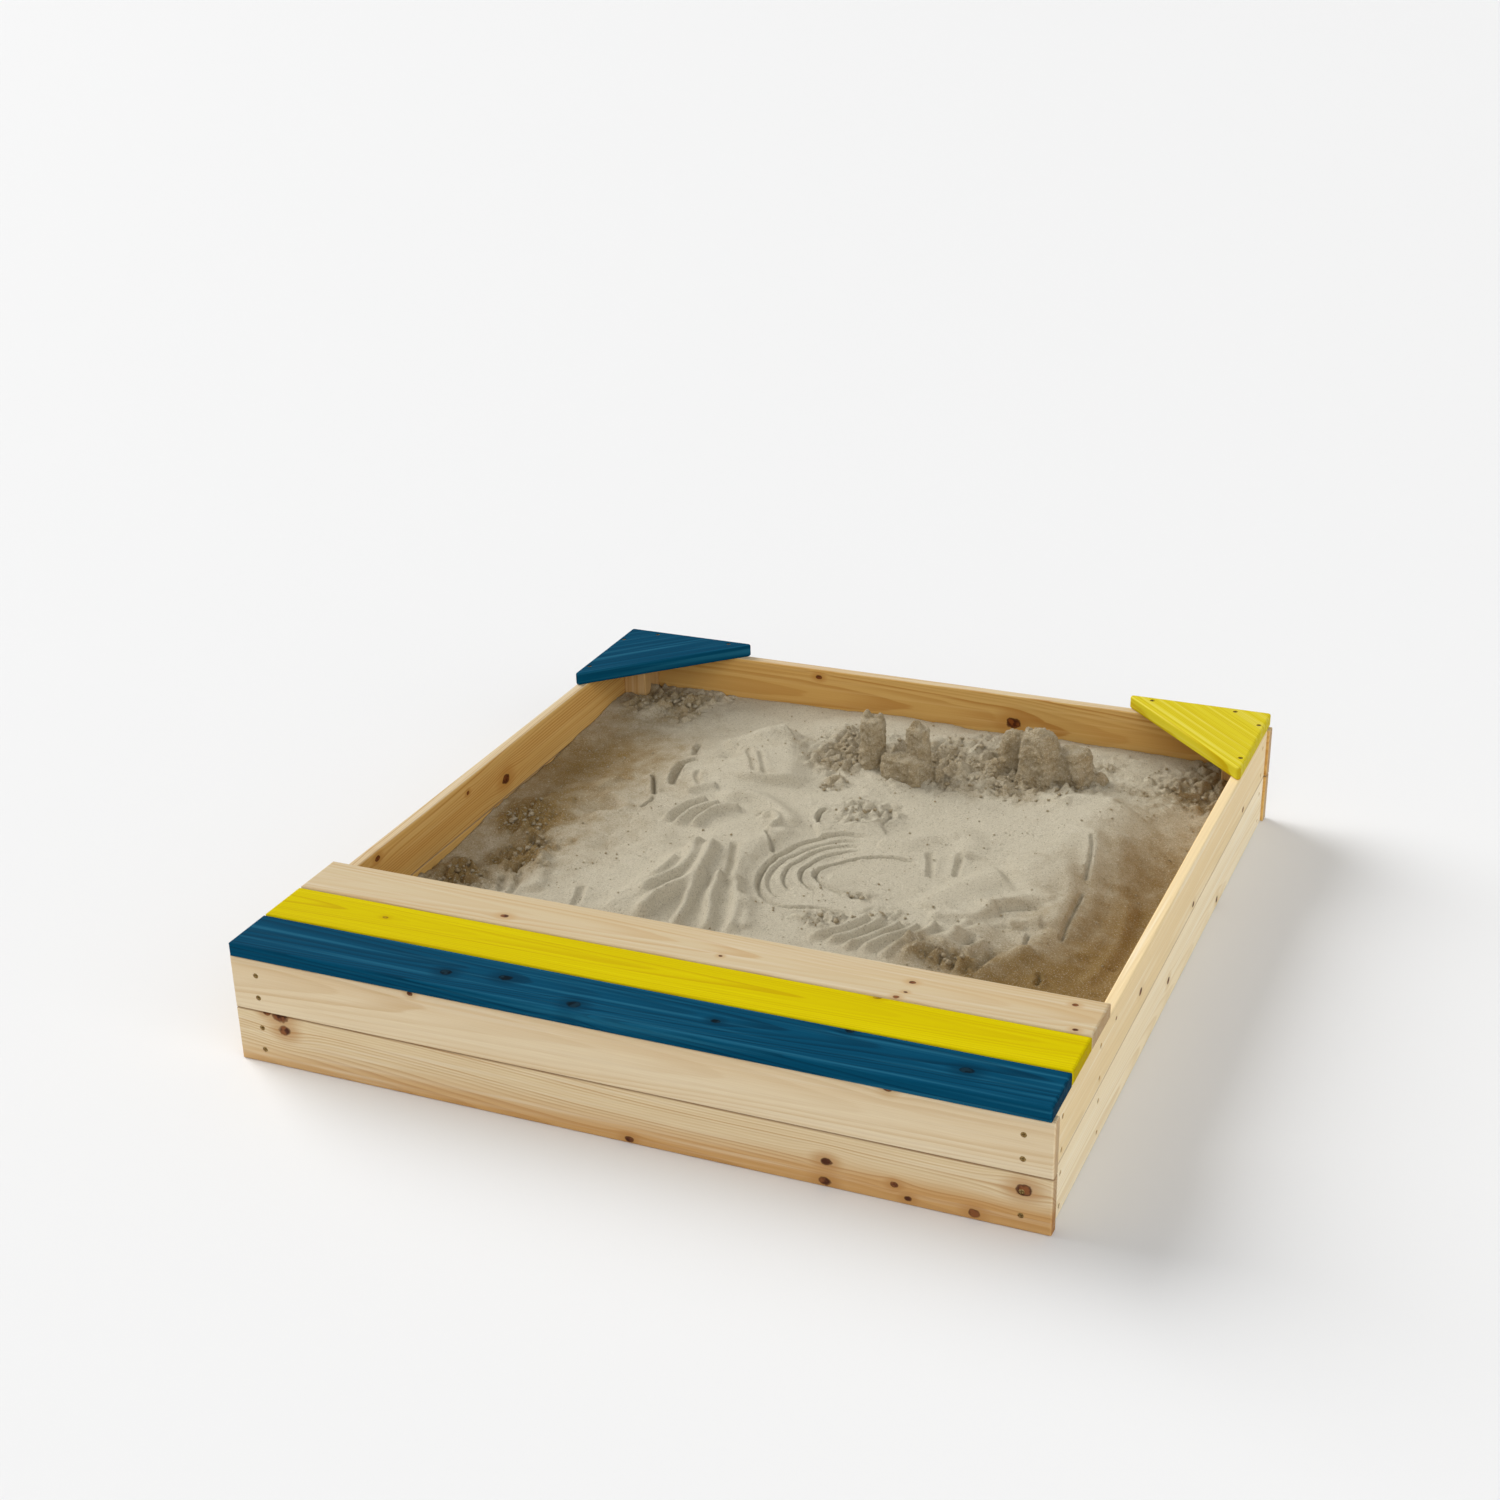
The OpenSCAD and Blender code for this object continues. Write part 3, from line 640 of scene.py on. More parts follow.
# The lie of the sand, in millimetres: hills and hollows as (place, reach, height, turn)
HILL_RISE = 1.25
land = np.full(x.shape, SAND_LEVEL)
for place, reach, height, turn in [
    ((-470, -120), (150, 170), -20, 0), ((-560, 60), (60, 330), -8, 0), ((-450, 330), (120, 80), -6, 0),
    ((-400, 135), (48, 36), -15, 20), ((-325, 4), (26, 22), -7, 0), ((-560, 560), (120, 90), 6, 0),
    ((350, 280), (120, 150), 13, 0), ((420, 360), (70, 60), 8, 0), ((300, 560), (110, 60), 14, 0),
    ((505, 60), (70, 240), -28, 0), ((250, -150), (90, 70), 8, 0), ((-480, 250), (70, 110), -8, 0),
    ((-300, 60), (60, 60), -6, 0), ((-380, -60), (40, 70), 7, 0), ((-500, -60), (50, 90), -8, 0),
    ((480, -230), (130, 130), -14, 0), ((540, 420), (60, 90), -10, 0),
    ((-60, 560), (130, 60), 12, 0), ((150, 470), (120, 60), -4, 0), ((110, 20), (90, 70), -5, 0),
    ((-150, -60), (90, 140), 6, 0), ((0, -340), (420, 70), -8, 0), ((-260, 300), (110, 90), 5, 0),
    ((-340, 480), (90, 80), -4, 0), ((60, 190), (90, 26), -3, 28), ((-215, 60), (30, 55), -5, 25),
]:
    land += HILL_RISE * height * heap(x, y, place, reach, turn)

# Crests, as (route, reach on its left, reach on its right, height). Most run towards the front,
# so that their left is the side towards +X
CREST_RISE = 1.45
for route, left, right, height in [
    ([(-212, 490), (-200, 440), (-172, 378), (-150, 328), (-138, 292)], 30, 80, 11),
    ([(-206, 472), (-230, 449), (-262, 431), (-302, 404)], 28, 24, 9),
    ([(430, 372), (405, 318), (384, 250), (376, 205), (358, 160), (338, 120), (305, 88)], 70, 40, 11),
    ([(398, 60), (397, 20), (393, -34)], 30, 14, 6),
    ([(398, 262), (416, 190), (436, 110), (444, 40), (440, -50)], 22, 15, 6),
    ([(430, 280), (452, 200), (474, 110), (482, 20), (470, -80)], 24, 16, 6),
    ([(372, 150), (404, 90), (412, 10), (404, -80), (380, -150)], 18, 14, 5),
    ([(486, 140), (500, 40), (502, -60), (484, -150)], 14, 12, 5),
    ([(300, 96), (262, 60), (232, 10), (218, -44)], 36, 22, 8),
    ([(190, 210), (214, 176), (222, 130)], 30, 20, 6),
    ([(330, -60), (300, -110), (262, -160), (236, -215)], 26, 14, 8),
    ([(400, -100), (372, -150), (350, -205)], 22, 14, 7),
    ([(301, 348), (323, 363), (360, 372), (404, 368)], 26, 13, 6),
    ([(397, 40), (360, 34), (335, 15), (320, 0), (301, -21)], 11, 22, 7),
    ([(394, -31), (369, -37), (348, -46)], 10, 18, 5),
    ([(230, -70), (255, -62), (277, -55), (295, -50), (305, -30), (325, -7)], 22, 10, 7),
    ([(292, -61), (289, -108), (295, -140)], 9, 8, 6),
    ([(336, -112), (330, -132), (314, -153)], 9, 8, 6),
    ([(-168, 74), (-186, 10), (-200, -60), (-213, -150), (-228, -220)], 60, 18, 6),
    ([(-425, 176), (-385, 162), (-360, 140), (-358, 116), (-375, 101), (-408, 94)], 14, 9, 6),
    ([(-420, 236), (-430, 205), (-436, 176)], 12, 26, 6),
    ([(-545, -92), (-520, -106), (-482, -108), (-450, -100)], 10, 20, 7),
    ([(-412, -40), (-400, -80), (-380, -130), (-362, -180)], 14, 24, 8),
    # Folds that a flat hand has left, in front of the swirl and to its left
    ([(-190, -35), (-192, -72), (-198, -106)], 8, 7, 5),
    ([(-176, 40), (-180, 10), (-166, -30), (-165, -85), (-178, -116), (-202, -160)], 9, 11, 9),
    ([(-158, 40), (-143, -20), (-136, -97), (-152, -142), (-165, -180), (-168, -222)], 11, 13, 12),
    ([(-127, -60), (-122, -130), (-114, -172), (-106, -222)], 9, 9, 10),
    ([(-102, -60), (-88, -136), (-75, -170), (-58, -222)], 12, 9, 11),
    ([(-78, -60), (-61, -102), (-47, -130), (-35, -168), (-22, -222)], 11, 10, 9),
    ([(-40, -100), (-22, -150), (-4, -200)], 12, 10, 5),
    ([(-62, 136), (-82, 92), (-91, 45), (-90, 0), (-82, -45), (-66, -84)], 19, 30, 7),
    ([(-34, 148), (-4, 168), (40, 186), (66, 202)], 14, 26, 7),
    ([(78, 148), (112, 150), (150, 172), (188, 204)], 16, 22, 6),
    ([(151, -104), (147, -122), (137, -139), (122, -162), (86, -194)], 8, 8, 8),
    ([(176, -102), (172, -122), (165, -142), (150, -166), (118, -200)], 7, 8, 8),
    ([(201, -108), (200, -128), (190, -150), (174, -176), (148, -208)], 7, 8, 8),
    ([(228, -104), (227, -128), (216, -150), (198, -174), (176, -208)], 8, 8, 8),
    ([(250, -94), (254, -116), (248, -144), (230, -182), (210, -214)], 8, 9, 9),
    # Arcs of four fingers, to the left of the swirl
    ([(-275, 106), (-276, 130), (-268, 156), (-250, 180), (-236, 192)], 6, 8, 8),
    ([(-254, 101), (-251, 125), (-244, 148), (-225, 172), (-208, 183)], 6, 8, 8),
    ([(-225, 103), (-221, 124), (-210, 160), (-192, 177), (-174, 181)], 6, 8, 9),
    ([(-134, 166), (-112, 167), (-98, 154), (-92, 138), (-98, 112)], 6, 7, 8),
    ([(-228, 203), (-190, 221), (-160, 223), (-130, 210), (-105, 190), (-85, 165), (-68, 138)], 20, 16, 8),
    ([(-284, 204), (-266, 227), (-240, 239)], 9, 8, 6),
]:
    drag(land, xs_mm, ys_mm, route, left, CREST_RISE * height, right)

# Furrows drawn by fingers: (route, reach, depth, banks)
FURROW_RISE = -1.15
BANK_RISE = 1.2
for route, reach, depth, banks in [
    ([(66, 160), (20, 150), (-12, 128), (-36, 90), (-50, 45), (-54, 0), (-47, -45), (-29, -82), (0, -106),
      (26, -112), (52, -104), (84, -99), (146, -100)], 5.5, 7.5, 2.0),
    ([(60, 140), (22, 131), (-4, 106), (-26, 66), (-38, 22), (-39, -18), (-30, -48), (-12, -74), (14, -88)],
     4.5, 3.6, 1.2),
    ([(56, 122), (24, 112), (2, 86), (-12, 54), (-20, 14), (-18, -14), (-8, -38), (10, -54)], 4.5, 5.4, 2.2),
    ([(66, 108), (38, 96), (17, 72), (6, 44), (3, 14), (6, -6), (16, -24), (32, -37), (54, -50)],
     4.5, 6.4, 2.4),
    ([(162, 96), (130, 99), (100, 93), (70, 80), (46, 61), (31, 40), (24, 17), (26, 3), (38, -12),
      (56, -28), (78, -39), (98, -43)], 5.0, 7.6, 2.6),
    ([(-100, 112), (-88, 93), (-74, 72), (-62, 48)], 4.5, 7.0, 2.0),
    ([(-372, 268), (-357, 242), (-346, 218), (-332, 190)], 5.0, 10.0, 3.0),
    ([(-318, 340), (-336, 318), (-336, 288), (-330, 262), (-318, 232)], 9.0, 9.0, 3.0),
    ([(-330, 184), (-329, 162), (-333, 138)], 4.0, 5.0, 1.5),
    ([(-348, 410), (-343, 382), (-334, 358)], 7.0, 6.0, 1.8),
    ([(-250, 392), (-222, 345), (-196, 296)], 8.0, 4.5, 1.8),
    ([(-222, 380), (-200, 335), (-178, 296)], 7.0, 4.0, 1.6),
    ([(-300, 300), (-292, 270), (-270, 240)], 7.0, 4.0, 1.4),
    ([(-46, 240), (-48, 208), (-36, 180), (-18, 160)], 5.5, 9.0, 3.0),
    ([(46, 272), (60, 250), (64, 226), (54, 206), (34, 192), (8, 186)], 5.0, 6.5, 2.4),
    ([(0, 276), (6, 256), (12, 238)], 4.5, 5.0, 1.5),
    ([(28, 268), (38, 252), (34, 236)], 4.5, 4.0, 1.5),
    ([(-126, 52), (-115, 18), (-102, -18), (-92, -54), (-84, -94)], 9.0, 6.0, 2.0),
    ([(165, 136), (178, 104), (190, 66)], 8.0, 4.5, 1.8),
    ([(214, 142), (221, 108), (228, 76)], 8.0, 4.5, 1.8),
    ([(318, -14), (345, 4), (378, 14)], 12.0, 5.0, 2.0),
    ([(330, -58), (352, -52), (380, -48)], 8.0, 4.0, 1.6),
    ([(312, -104), (318, -126), (314, -142)], 9.0, 6.0, 2.4),
    ([(352, -128), (350, -160), (344, -200)], 9.0, 5.0, 1.8),
    ([(384, -58), (387, -84), (394, -112)], 5.0, 4.0, 1.6),
    ([(396, 232), (408, 190), (417, 120)], 5.0, 4.0, 2.0),
    ([(421, 96), (425, 30), (430, -58)], 5.0, 4.0, 1.6),
    ([(424, -146), (430, -160), (428, -176)], 5.0, 5.0, 2.0),
    ([(-466, 14), (-458, -8), (-430, -18)], 7.0, 10.0, 3.0),
    ([(-478, -30), (-470, -60), (-476, -96)], 8.0, 9.0, 3.0),
    ([(-440, -70), (-436, -100), (-430, -120)], 6.0, 8.0, 2.6),
    ([(-536, 92), (-545, 84)], 5.0, 4.0, 1.0),
    ([(-520, -110), (-505, -122)], 4.0, 4.0, 1.0),
    ([(-300, -140), (-286, -180), (-276, -220)], 9.0, 5.0, 1.8),
    ([(-447, -126), (-436, -150), (-418, -184)], 8.0, 7.0, 2.4),
    ([(-424, -110), (-405, -160), (-390, -220)], 8.0, 5.0, 2.0),
]:
    drag(land, xs_mm, ys_mm, route, reach, FURROW_RISE * depth, rim=BANK_RISE * banks)

# Dents of fingertips, and the little piles beside them, which have a depth below zero
for place, reach, depth in [
    ((-276, 372), (15, 22), 9), ((-40, 380), (14, 12), 5), ((-75, 318), (10, 8), 5),
    ((112, -36), (12, 10), 4), ((178, -84), (9, 12), 5), ((78, -136), (12, 10), -5),
    ((85, -112), (10, 8), -4), ((-52, 330), (13, 9), -5), ((12, 216), (12, 14), -3),
    ((-245, 425), (14, 10), -4), ((516, -78), (6, 4), 4), ((512, -160), (9, 5), 4),
]:
    land -= depth * heap(x, y, place, reach)

# Where the sand is damp and clumpy, as (place, reach)
clumpy = np.zeros(x.shape)
for place, reach in [
    ((150, 470), (250, 105)), ((-90, 450), (70, 90)), ((-452, -60), (66, 70)), ((-62, 330), (30, 26)),
    ((178, -84), (30, 26)), ((112, -38), (24, 14)), ((-480, 560), (90, 70)), ((500, 520), (70, 90)),
    ((-500, 60), (60, 60)), ((-510, -140), (60, 60)), ((20, 240), (56, 46)), ((90, -130), (40, 26)),
    ((290, -180), (60, 30)),
]:
    clumpy = np.maximum(clumpy, heap(x, y, place, reach))
clumpy = np.clip(clumpy * 1.6 - 0.25 + 0.35 * rolling_noise(x, y, 0.035, 5), 0.0, 1.0)

# Fine relief: clods where it is clumpy, and a crust that is thicker where it was dug over
lumps = np.abs(rolling_noise(x, y, 0.019, 21, 3))
crust = np.maximum(rolling_noise(x, y, 0.0085, 11, 2), -0.1)
dug_over = np.clip(0.30 + 0.5 * rolling_noise(x, y, 0.090, 17, 2), 0.05, 1.0)
land += 3.6 * rolling_noise(x, y, 0.110, 7, 2) + 1.4 * rolling_noise(x, y, 0.034, 8, 2)
land += 1.3 * dug_over * crust
land += clumpy * (15.0 * (lumps - 0.35) + 2.5 * crust)
land = land * MM

# It is damp where it is clumpy, but for two patches that have dried. The patches along the side
# walls are partly damp and partly painted shade and warm bounce light from the walls.
dried = np.maximum(heap(x, y, (140, -110), (240, 130)), heap(x, y, (10, 245), (90, 70)))
damp_and_shade = 0.46 * clumpy * (1.0 - 0.9 * dried)
for place, reach, share in [
    ((-570, -60), (130, 330), 0.40), ((550, 20), (150, 380), 0.95), ((-500, 320), (170, 200), 0.75),
    ((-410, 20), (140, 220), 0.30), ((450, -240), (230, 130), 0.80),
]:
    damp_and_shade += share * heap(x, y, place, reach)
damp_and_shade += 0.08 * rolling_noise(x, y, 0.060, 15, 3)
damp_and_shade = np.clip(damp_and_shade, 0.0, 1.0)

# One closed mesh: the top, cut out round the two back posts, with sides and a flat underside
rows, columns = x.shape
floor_z = sand_low.z
top_points = np.stack([x.ravel(), y.ravel(), land.ravel()], 1)
quads = grid_faces(rows, columns)
middle = top_points[quads].mean(1)
in_notch = (middle[:, 1] > notch_y) & ((middle[:, 0] < notch_left) | (middle[:, 0] > notch_right))
quads = quads[~in_notch]
edges = np.concatenate([quads[:, [0, 1]], quads[:, [1, 2]], quads[:, [2, 3]], quads[:, [3, 0]]])
known = {tuple(edge) for edge in edges.tolist()}
rim_edges = [edge for edge in edges.tolist() if (edge[1], edge[0]) not in known]
foot = {}
points = top_points.tolist()
for a, b in rim_edges:
    for corner in (a, b):
        if corner not in foot:
            foot[corner] = len(points)
            points.append([top_points[corner, 0], top_points[corner, 1], floor_z])
faces = quads.tolist() + [[b, a, foot[a], foot[b]] for a, b in rim_edges]
after = {a: b for a, b in rim_edges}
loop = [rim_edges[0][0]]
while after[loop[-1]] != loop[0]:
    loop.append(after[loop[-1]])
faces.append([foot[corner] for corner in reversed(loop)])
sand = mesh_piece("play_sand", points, faces)


def sand_finish(name, wet_and_shade=None):
    """Grains of three shades, damp sand browner and darker than the dry crust. Where no dampness is
    given, it comes from the piece's own damp patches, which near the walls also carry painted
    shade and bounce light."""
    finish, tree, shader = start_finish(name)
    place = add(tree, "TexCoord", {}, "Object")
    if wet_and_shade is None:
        wet_and_shade = add(tree, "Attribute", {}, "Fac", attribute_name="damp_and_shade")
    cloud = add(tree, "TexNoise", {"Vector": place, "Scale": 38.0, "Detail": 5.0, "Roughness": 0.6})
    grains = add(tree, "TexNoise", {"Vector": place, "Scale": 430.0, "Detail": 3.0, "Roughness": 0.8})
    grit = add(tree, "TexNoise", {"Vector": place, "Scale": 185.0, "Detail": 5.0, "Roughness": 0.8})
    pebbles = add(tree, "TexVoronoi", {"Vector": place, "Scale": 260.0}, "Distance")
    # The damp brown also serves as painted shade and bounce light where the walls shade the sand.
    shade = calc(tree, "ADD", wet_and_shade, calc(tree, "MULTIPLY", calc(tree, "SUBTRACT", cloud, 0.5), 0.7))
    colour = over(tree, ease(tree, shade, 0.0, 1.0), tint(212, 202, 178), tint(150, 122, 72))
    colour = over(tree, ease(tree, grains, 0.54, 0.70, 0.0, 0.5), colour, tint(242, 237, 222))
    colour = over(tree, ease(tree, grains, 0.46, 0.30, 0.0, 0.6), colour, tint(112, 98, 72))
    colour = over(tree, ease(tree, grit, 0.44, 0.30, 0.0, 0.5), colour, tint(128, 112, 84))
    colour = over(tree, ease(tree, pebbles, 0.15, 0.04, 0.0, 0.5), colour, tint(96, 82, 62))
    tree.links.new(colour, shader.inputs["Base Color"])
    shader.inputs["Roughness"].default_value = 0.92
    shader.inputs["Specular IOR Level"].default_value = 0.15
    rough_face = calc(tree, "ADD", grit, calc(tree, "MULTIPLY", grains, 0.4))
    emboss(tree, shader, rough_face, 1.0, 0.0052)
    return finish


def store_damp_and_shade(piece, values):
    """Stores how damp the sand is at each point, together with the painted wall shade."""
    layer = piece.data.attributes.new("damp_and_shade", "FLOAT", "POINT")
    layer.data.foreach_set("value", np.asarray(values, np.float32))


foot_damp_and_shade = np.zeros(len(points) - rows * columns)
store_damp_and_shade(sand, np.concatenate([damp_and_shade.ravel(), foot_damp_and_shade]))
play_sand = sand_finish("washed_sand")
sand.data.materials.append(play_sand)
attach(sand, "frame")
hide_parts("sand_bed")


# ---- Sandcastles ----------------------------------------------------------------------
# Two small castles of damp sand, turned out of moulds and half crumbled, stand near the back
# wall. Crumbs of damp sand lie round them and wherever the sand was dug over.

LUMP_ROWS = 26
LUMP_SIDES = 40
CASTLE_GRAIN = 0.0019


def lump(place, size, foot, top, square=2.0, taper=0.8, dome=0.3, turn=0.0, seed=0):
    """A closed block of sand, from the height foot to the height top. size is its width and depth at
    the foot, square its outline's power (2 is round), taper its size at the top, and dome the share
    of its height that is rounded."""
    points = []
    c, s = math.cos(math.radians(turn)), math.sin(math.radians(turn))
    dice = np.random.default_rng(seed)
    waves = [(dice.integers(2, 7), dice.uniform(0, 6.28), dice.uniform(0.02, 0.05)) for _ in range(4)]
    for row in range(LUMP_ROWS + 1):
        t = row / LUMP_ROWS
        above = max(0.0, (t - 1.0 + dome) / dome)
        shrink = (1.0 + (taper - 1.0) * t) * max(0.02, (1.0 - above ** 2.4)) ** 0.45
        for k in range(LUMP_SIDES):
            angle = 2 * math.pi * k / LUMP_SIDES
            u, v = math.cos(angle), math.sin(angle)
            stretch = (abs(u) ** square + abs(v) ** square) ** (-1.0 / square)
            stretch *= 1.0 + sum(high * math.sin(n * angle + at + 5.0 * t) for n, at, high in waves)
            u, v = u * stretch * shrink * size[0] / 2, v * stretch * shrink * size[1] / 2
            points.append(((place[0] + u * c - v * s) * MM, (place[1] + u * s + v * c) * MM,
                           (foot + (top - foot) * t) * MM))
    faces = []
    for row in range(LUMP_ROWS):
        for k in range(LUMP_SIDES):
            a, b = row * LUMP_SIDES + k, row * LUMP_SIDES + (k + 1) % LUMP_SIDES
            faces.append((a, b, b + LUMP_SIDES, a + LUMP_SIDES))
    faces.append(tuple(range(LUMP_SIDES))[::-1])
    faces.append(tuple(range(LUMP_ROWS * LUMP_SIDES, (LUMP_ROWS + 1) * LUMP_SIDES)))
    return points, faces


# Each block's place, size, foot, top, outline, taper, dome, turn and seed, in millimetres and degrees
blocks = [
    lump((-32, 418), (50, 46), 70, 184, 2.2, 0.84, 0.06, 0, 1),
    lump((-44, 420), (20, 22), 160, 190, 2.0, 0.8, 0.3, 0, 2),
    lump((-22, 424), (16, 20), 160, 189, 2.0, 0.7, 0.4, 0, 3),
    lump((52, 406), (46, 42), 70, 184, 2.2, 0.84, 0.06, 0, 4),
    lump((48, 408), (26, 22), 160, 190, 2.0, 0.8, 0.4, 0, 5),
    lump((34, 388), (80, 50), 70, 136, 3.2, 0.90, 0.10, -10, 6),
    lump((14, 400), (36, 44), 70, 128, 2.4, 0.8, 0.4, 10, 7),
    lump((-2, 414), (40, 30), 60, 118, 2.0, 0.6, 0.7, 0, 8),
    lump((82, 414), (44, 46), 60, 112, 2.0, 0.55, 0.7, -10, 9),
    lump((196, 484), (60, 50), 70, 166, 2.2, 0.82, 0.30, 14, 11),
    lump((168, 462), (56, 50), 60, 120, 2.0, 0.6, 0.7, 0, 12),
    lump((248, 452), (78, 64), 70, 188, 2.4, 0.82, 0.38, -8, 13),
    lump((304, 458), (64, 56), 70, 160, 3.2, 0.88, 0.14, -14, 14),
    lump((224, 476), (50, 44), 70, 176, 2.2, 0.7, 0.5, 0, 15),
    lump((344, 470), (60, 54), 60, 118, 2.0, 0.55, 0.7, 0, 16),
    lump((192, 424), (34, 26), 60, 110, 2.0, 0.6, 0.8, 0, 18),
    lump((176, 440), (24, 22), 60, 112, 2.0, 0.6, 0.8, 0, 19),
    lump((290, 414), (26, 22), 60, 106, 2.0, 0.6, 0.8, 0, 20),
]
points, faces = [], []
for block_points, block_faces in blocks:
    faces += [[corner + len(points) for corner in face] for face in block_faces]
    points += block_points
castles = mesh_piece("sandcastles", points, faces)
fuse = castles.modifiers.new("fuse", "REMESH")
fuse.mode = "VOXEL"
fuse.voxel_size = CASTLE_GRAIN
fuse.use_smooth_shade = True
# Crumbled twice: pits as wide as a finger, and then single clods
for size, depth in [(0.016, 0.0085), (0.0055, 0.0060)]:
    crumble = bpy.data.textures.new("crumble", "CLOUDS")
    crumble.noise_scale = size
    crumble.noise_depth = 2
    worn = castles.modifiers.new("worn", "DISPLACE")
    worn.texture = crumble
    worn.texture_coords = "GLOBAL"
    worn.mid_level = 0.58
    worn.strength = depth
damp_sand = sand_finish("damp_sand", 0.52)
castles.data.materials.append(damp_sand)
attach(castles, "frame")
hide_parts("sand_bed")


def surface_at(px, py):
    """The height of the sand at a place, and how clumpy it is there."""
    column = min(max(int(np.searchsorted(xs, px)), 0), len(xs) - 1)
    row = min(max(int(np.searchsorted(ys, py)), 0), len(ys) - 1)
    return land[row, column], clumpy[row, column]


# A crumb is a ball of twelve points, each pushed in or out by chance
CRUMBS = 2600
MOST_TRIES = 60000
FROM_WALL = 0.015
FROM_POST = 0.02
BEHIND_DIVIDER = -0.23
dice = np.random.default_rng(12)
ball_points = []
for z_step, turns in [(1.0, 1), (0.45, 5), (-0.45, 5), (-1.0, 1)]:
    for k in range(turns):
        angle = 2 * math.pi * (k + (0.5 if z_step < 0 else 0.0)) / turns
        reach = math.sqrt(1.0 - z_step * z_step)
        ball_points.append((reach * math.cos(angle), reach * math.sin(angle), z_step))
ball_points = np.array(ball_points)
ball_faces = []
for k in range(5):
    a, b, c, d = 1 + k, 1 + (k + 1) % 5, 6 + k, 6 + (k + 1) % 5
    ball_faces += [(0, a, b), (a, c, b), (b, c, d), (11, d, c)]
points, faces = [], []
for _ in range(MOST_TRIES):
    if len(points) >= CRUMBS * len(ball_points):
        break
    px = dice.uniform(sand_low.x + FROM_WALL, sand_high.x - FROM_WALL)
    py = dice.uniform(BEHIND_DIVIDER, sand_high.y - FROM_WALL)
    if abs(px) > notch_right - FROM_POST and py > notch_y - FROM_POST:
        continue
    height, clump = surface_at(px, py)
    if dice.uniform() > 0.05 + 0.9 * clump ** 1.5:
        continue
    radius = 0.0010 + 0.0050 * dice.uniform() ** 5 * (0.3 + 0.7 * clump)
    grain = ball_points * dice.uniform(0.72, 1.25, (len(ball_points), 1)) * radius * (1.0, 1.0, 0.8)
    faces += [[corner + len(points) for corner in face] for face in ball_faces]
    points += (grain + (px, py, height + 0.35 * radius)).tolist()
crumbs = mesh_piece("sand_crumbs", points, faces)
crumbs.data.materials.append(sand_finish("crumb_sand", 0.5))
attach(crumbs, "frame")
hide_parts("sand_bed")


# ---- Folded cover ---------------------------------------------------------------------
# A woven tarpaulin for the sandbox, 1.39 by 1.48 m and 0.3 mm thick. It is folded into eight
# layers across and then folded over three times, and lies loose in the storage space.

RUNS_ACROSS = 8
RUNS_ALONG = 4
RUN_ACROSS = 0.172
RUN_ALONG = 0.358
LAYER = 0.00125
BUNDLE = 0.0112
TARP = 0.0003


def fold_steps(runs, steps, turn_steps):
    """Goes along a folded cloth: (number of the run, share of the run, share of the turn after it)."""
    path = []
    for number in range(runs):
        path += [(number, k / steps, 0.0) for k in range(steps + 1)]
        if number < runs - 1:
            path += [(number, 1.0, k / turn_steps) for k in range(1, turn_steps)]
    return np.array(path)


def fold_over(path, height, pitch, ends):
    """Where cloth lies that is folded to and fro: along the run, and up. height is how high each
    point lies within one run, pitch the distance from one run to the next, and ends the places of
    the folds."""
    number, share, turned = path.T[:, :, None]
    back = number % 2
    height = np.where(back == 1, height.max() - height, height)
    fold_level = height.max() + (pitch - height.max()) / 2
    reach = (fold_level - height) * (turned > 0)
    start, end = ends[number.astype(int)], ends[number.astype(int) + 1]
    along = start + (end - start) * share
    along = along + np.where(back == 1, -1.0, 1.0) * reach * np.sin(math.pi * turned)
    up = number * pitch + np.where(turned > 0, fold_level - reach * np.cos(math.pi * turned), height)
    return along, up


dice = np.random.default_rng(5)
across_path = fold_steps(RUNS_ACROSS, 12, 4)
along_path = fold_steps(RUNS_ALONG, 30, 8)
across_ends = np.resize([-RUN_ACROSS / 2, RUN_ACROSS / 2], RUNS_ACROSS + 1)
along_ends = np.resize([-RUN_ALONG / 2, RUN_ALONG / 2], RUNS_ALONG + 1)
across_ends = across_ends + dice.uniform(-0.003, 0.003, len(across_ends))
along_ends = along_ends + dice.uniform(-0.004, 0.004, len(along_ends))
flat_height = np.zeros((1, 1))
across, layer_height = fold_over(across_path, flat_height, LAYER, across_ends)
along, up = fold_over(along_path, layer_height.T, BUNDLE, along_ends)
across = np.broadcast_to(across.T, up.shape)

# The bundle swells and wrinkles a little, and its edges slump
swell = rolling_noise(along, across, 0.090, 41, 2)
across = across + 0.0016 * rolling_noise(along, up * 6, 0.060, 43, 2)
slump = 1.0 - 0.10 * np.clip(np.abs(along) / (RUN_ALONG / 2), 0.0, 1.0) ** 3
slump = slump - 0.06 * np.clip(np.abs(across) / (RUN_ACROSS / 2), 0.0, 1.0) ** 4
up = up * slump * (1.0 + 0.030 * np.clip(swell, -1.0, 1.0))
middle = (cover_low + cover_high) / 2
points = np.stack([along + middle.x, across + middle.y, up + cover_low.z + TARP], -1)
cover = mesh_piece("folded_cover", points.reshape(-1, 3), grid_faces(*up.shape))
lay_uv(cover, [((number + share) * RUN_ALONG, (other + part) * RUN_ACROSS)
               for number, share, _ in along_path for other, part, _ in across_path])
thicken(cover, TARP)
cover.data.materials.append(woven("tarpaulin_weave", tint(62, 92, 78), tint(74, 104, 88), 420.0, 0.5))
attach(cover, "frame")
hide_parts("stowed_cover")


# ---- Studio ---------------------------------------------------------------------------
# A pale seamless floor, a soft main light from the back left, a weak one from the front
# right, and an even sky. The camera stands in front, a little to the right.

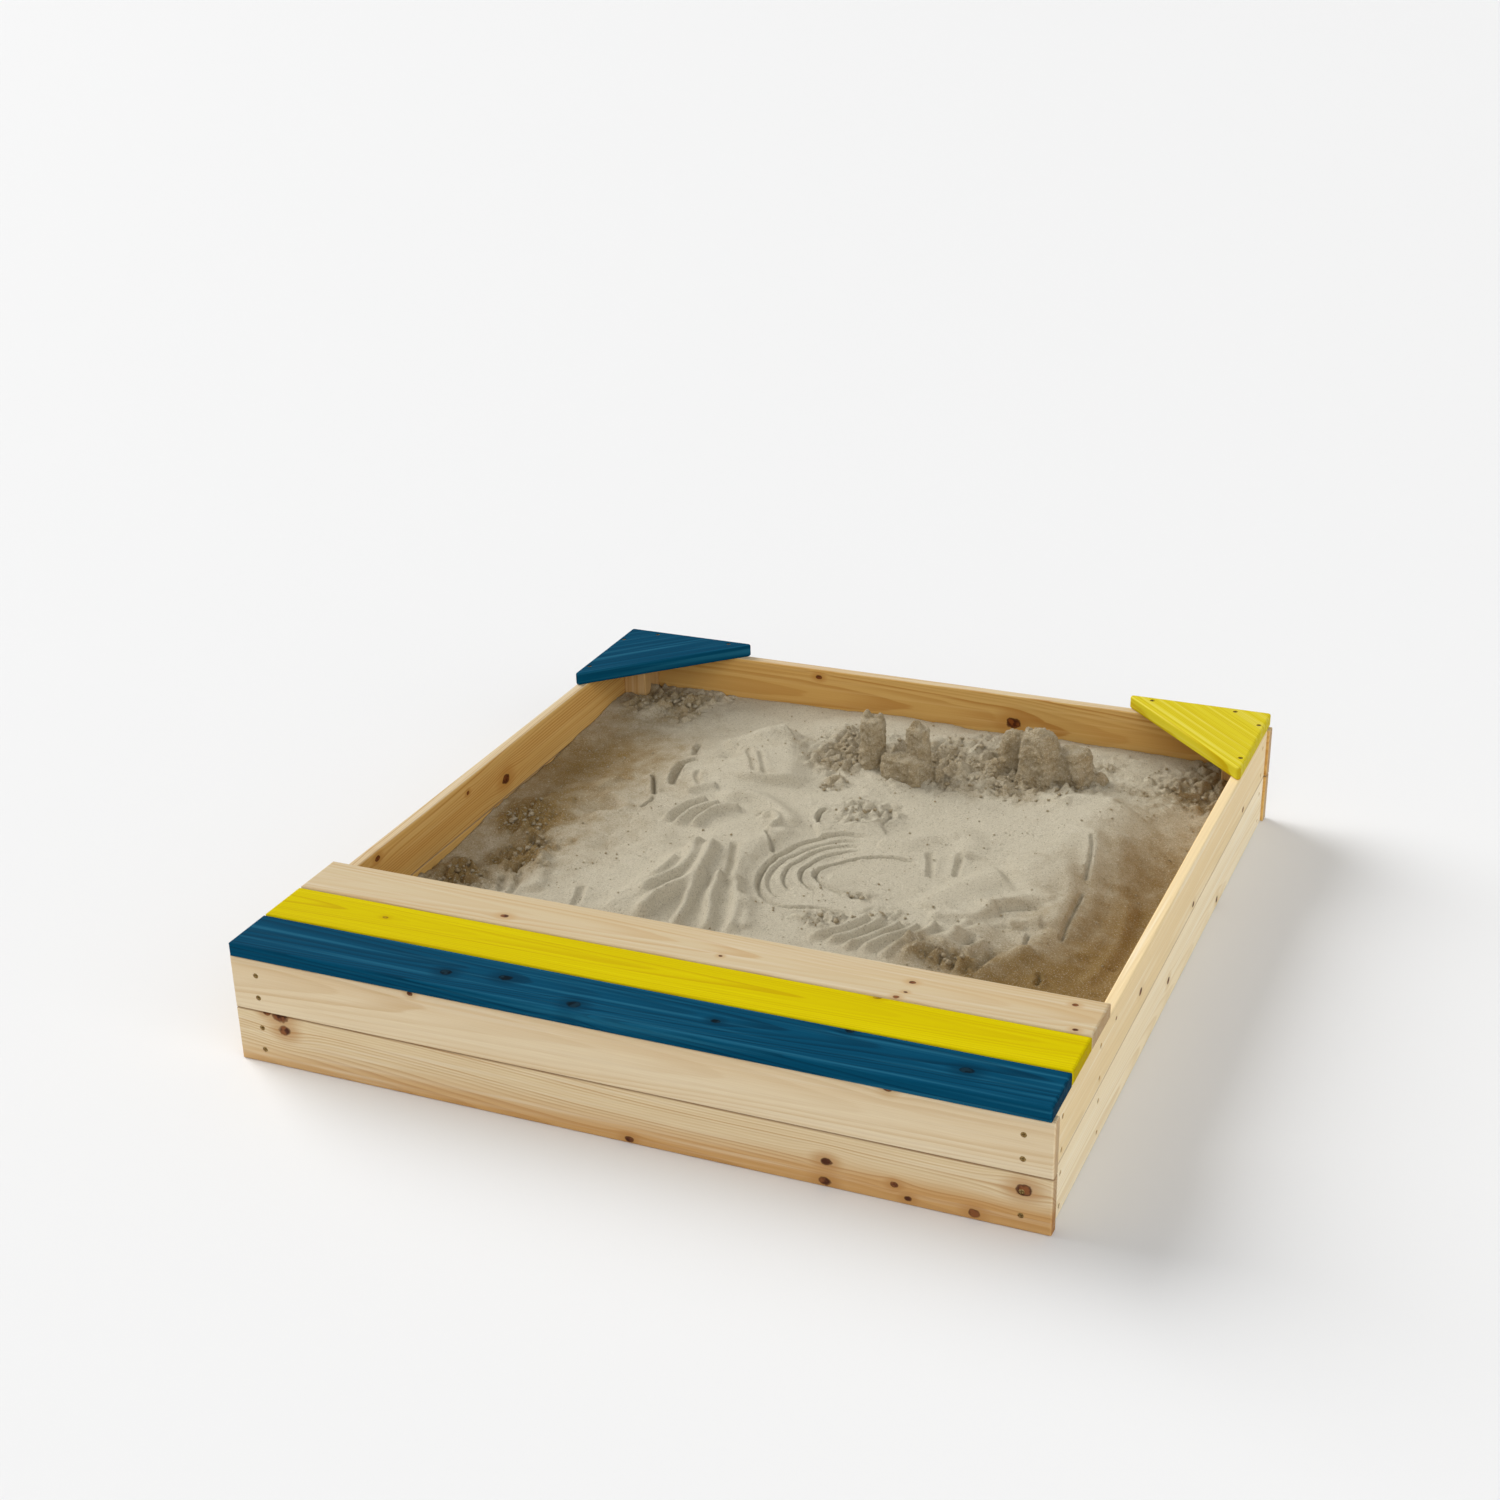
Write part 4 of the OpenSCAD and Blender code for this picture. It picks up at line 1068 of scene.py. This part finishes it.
FLOOR_SIZE = 60.0
FLOOR_GREY = (0.80, 0.80, 0.80, 1.0)
SKY_STRENGTH = 0.38
bpy.ops.mesh.primitive_plane_add(size=FLOOR_SIZE, location=(0, 0, 0))
floor = bpy.context.object
floor.name = "studio_floor"
paper, tree, shader = start_finish("floor_paper")
shader.inputs["Base Color"].default_value = FLOOR_GREY
shader.inputs["Roughness"].default_value = 0.9
floor.data.materials.append(paper)


def sun(name, towards, strength, spread):
    """A soft parallel light that shines from the point 'towards' to the middle of the sandbox."""
    lamp = bpy.data.lights.new(name, "SUN")
    lamp.energy = strength
    lamp.angle = math.radians(spread)
    lit = bpy.data.objects.new(name, lamp)
    lit.rotation_euler = Vector(towards).to_track_quat("Z", "Y").to_euler()
    bpy.context.scene.collection.objects.link(lit)


sun("main_light", (-1.0, 0.3, 0.66), 3.0, 42)
sun("front_light", (0.9, -1.0, 0.5), 1.9, 90)
sky = bpy.data.worlds.new("even_sky")
sky.use_nodes = True
daylight = sky.node_tree.nodes["Background"]
daylight.inputs["Color"].default_value = (1.0, 1.0, 1.0, 1.0)
daylight.inputs["Strength"].default_value = SKY_STRENGTH
bpy.context.scene.world = sky
bpy.context.scene.view_settings.view_transform = "Standard"

CAMERA_PLACE = (1.1854, -2.9069, 1.6824)
CAMERA_AZIMUTH = math.radians(23.53)
CAMERA_TILT = math.radians(26.25)
CAMERA_ROLL = math.radians(-1.353)
LENS_MM = 55.1
LENS_SHIFT = 0.0667
lens = bpy.data.cameras.new("camera")
lens.sensor_width = 36.0
lens.lens = LENS_MM
lens.shift_y = LENS_SHIFT
camera = bpy.data.objects.new("camera", lens)
camera.location = CAMERA_PLACE
camera.rotation_mode = "QUATERNION"
level = Vector((-math.sin(CAMERA_AZIMUTH), math.cos(CAMERA_AZIMUTH), 0.0))
ahead = level * math.cos(CAMERA_TILT) - Vector((0.0, 0.0, math.sin(CAMERA_TILT)))
turned = ahead.to_track_quat("-Z", "Y").to_matrix()
camera.rotation_quaternion = (turned @ Matrix.Rotation(CAMERA_ROLL, 3, "Z")).to_quaternion()
bpy.context.scene.collection.objects.link(camera)
bpy.context.scene.camera = camera
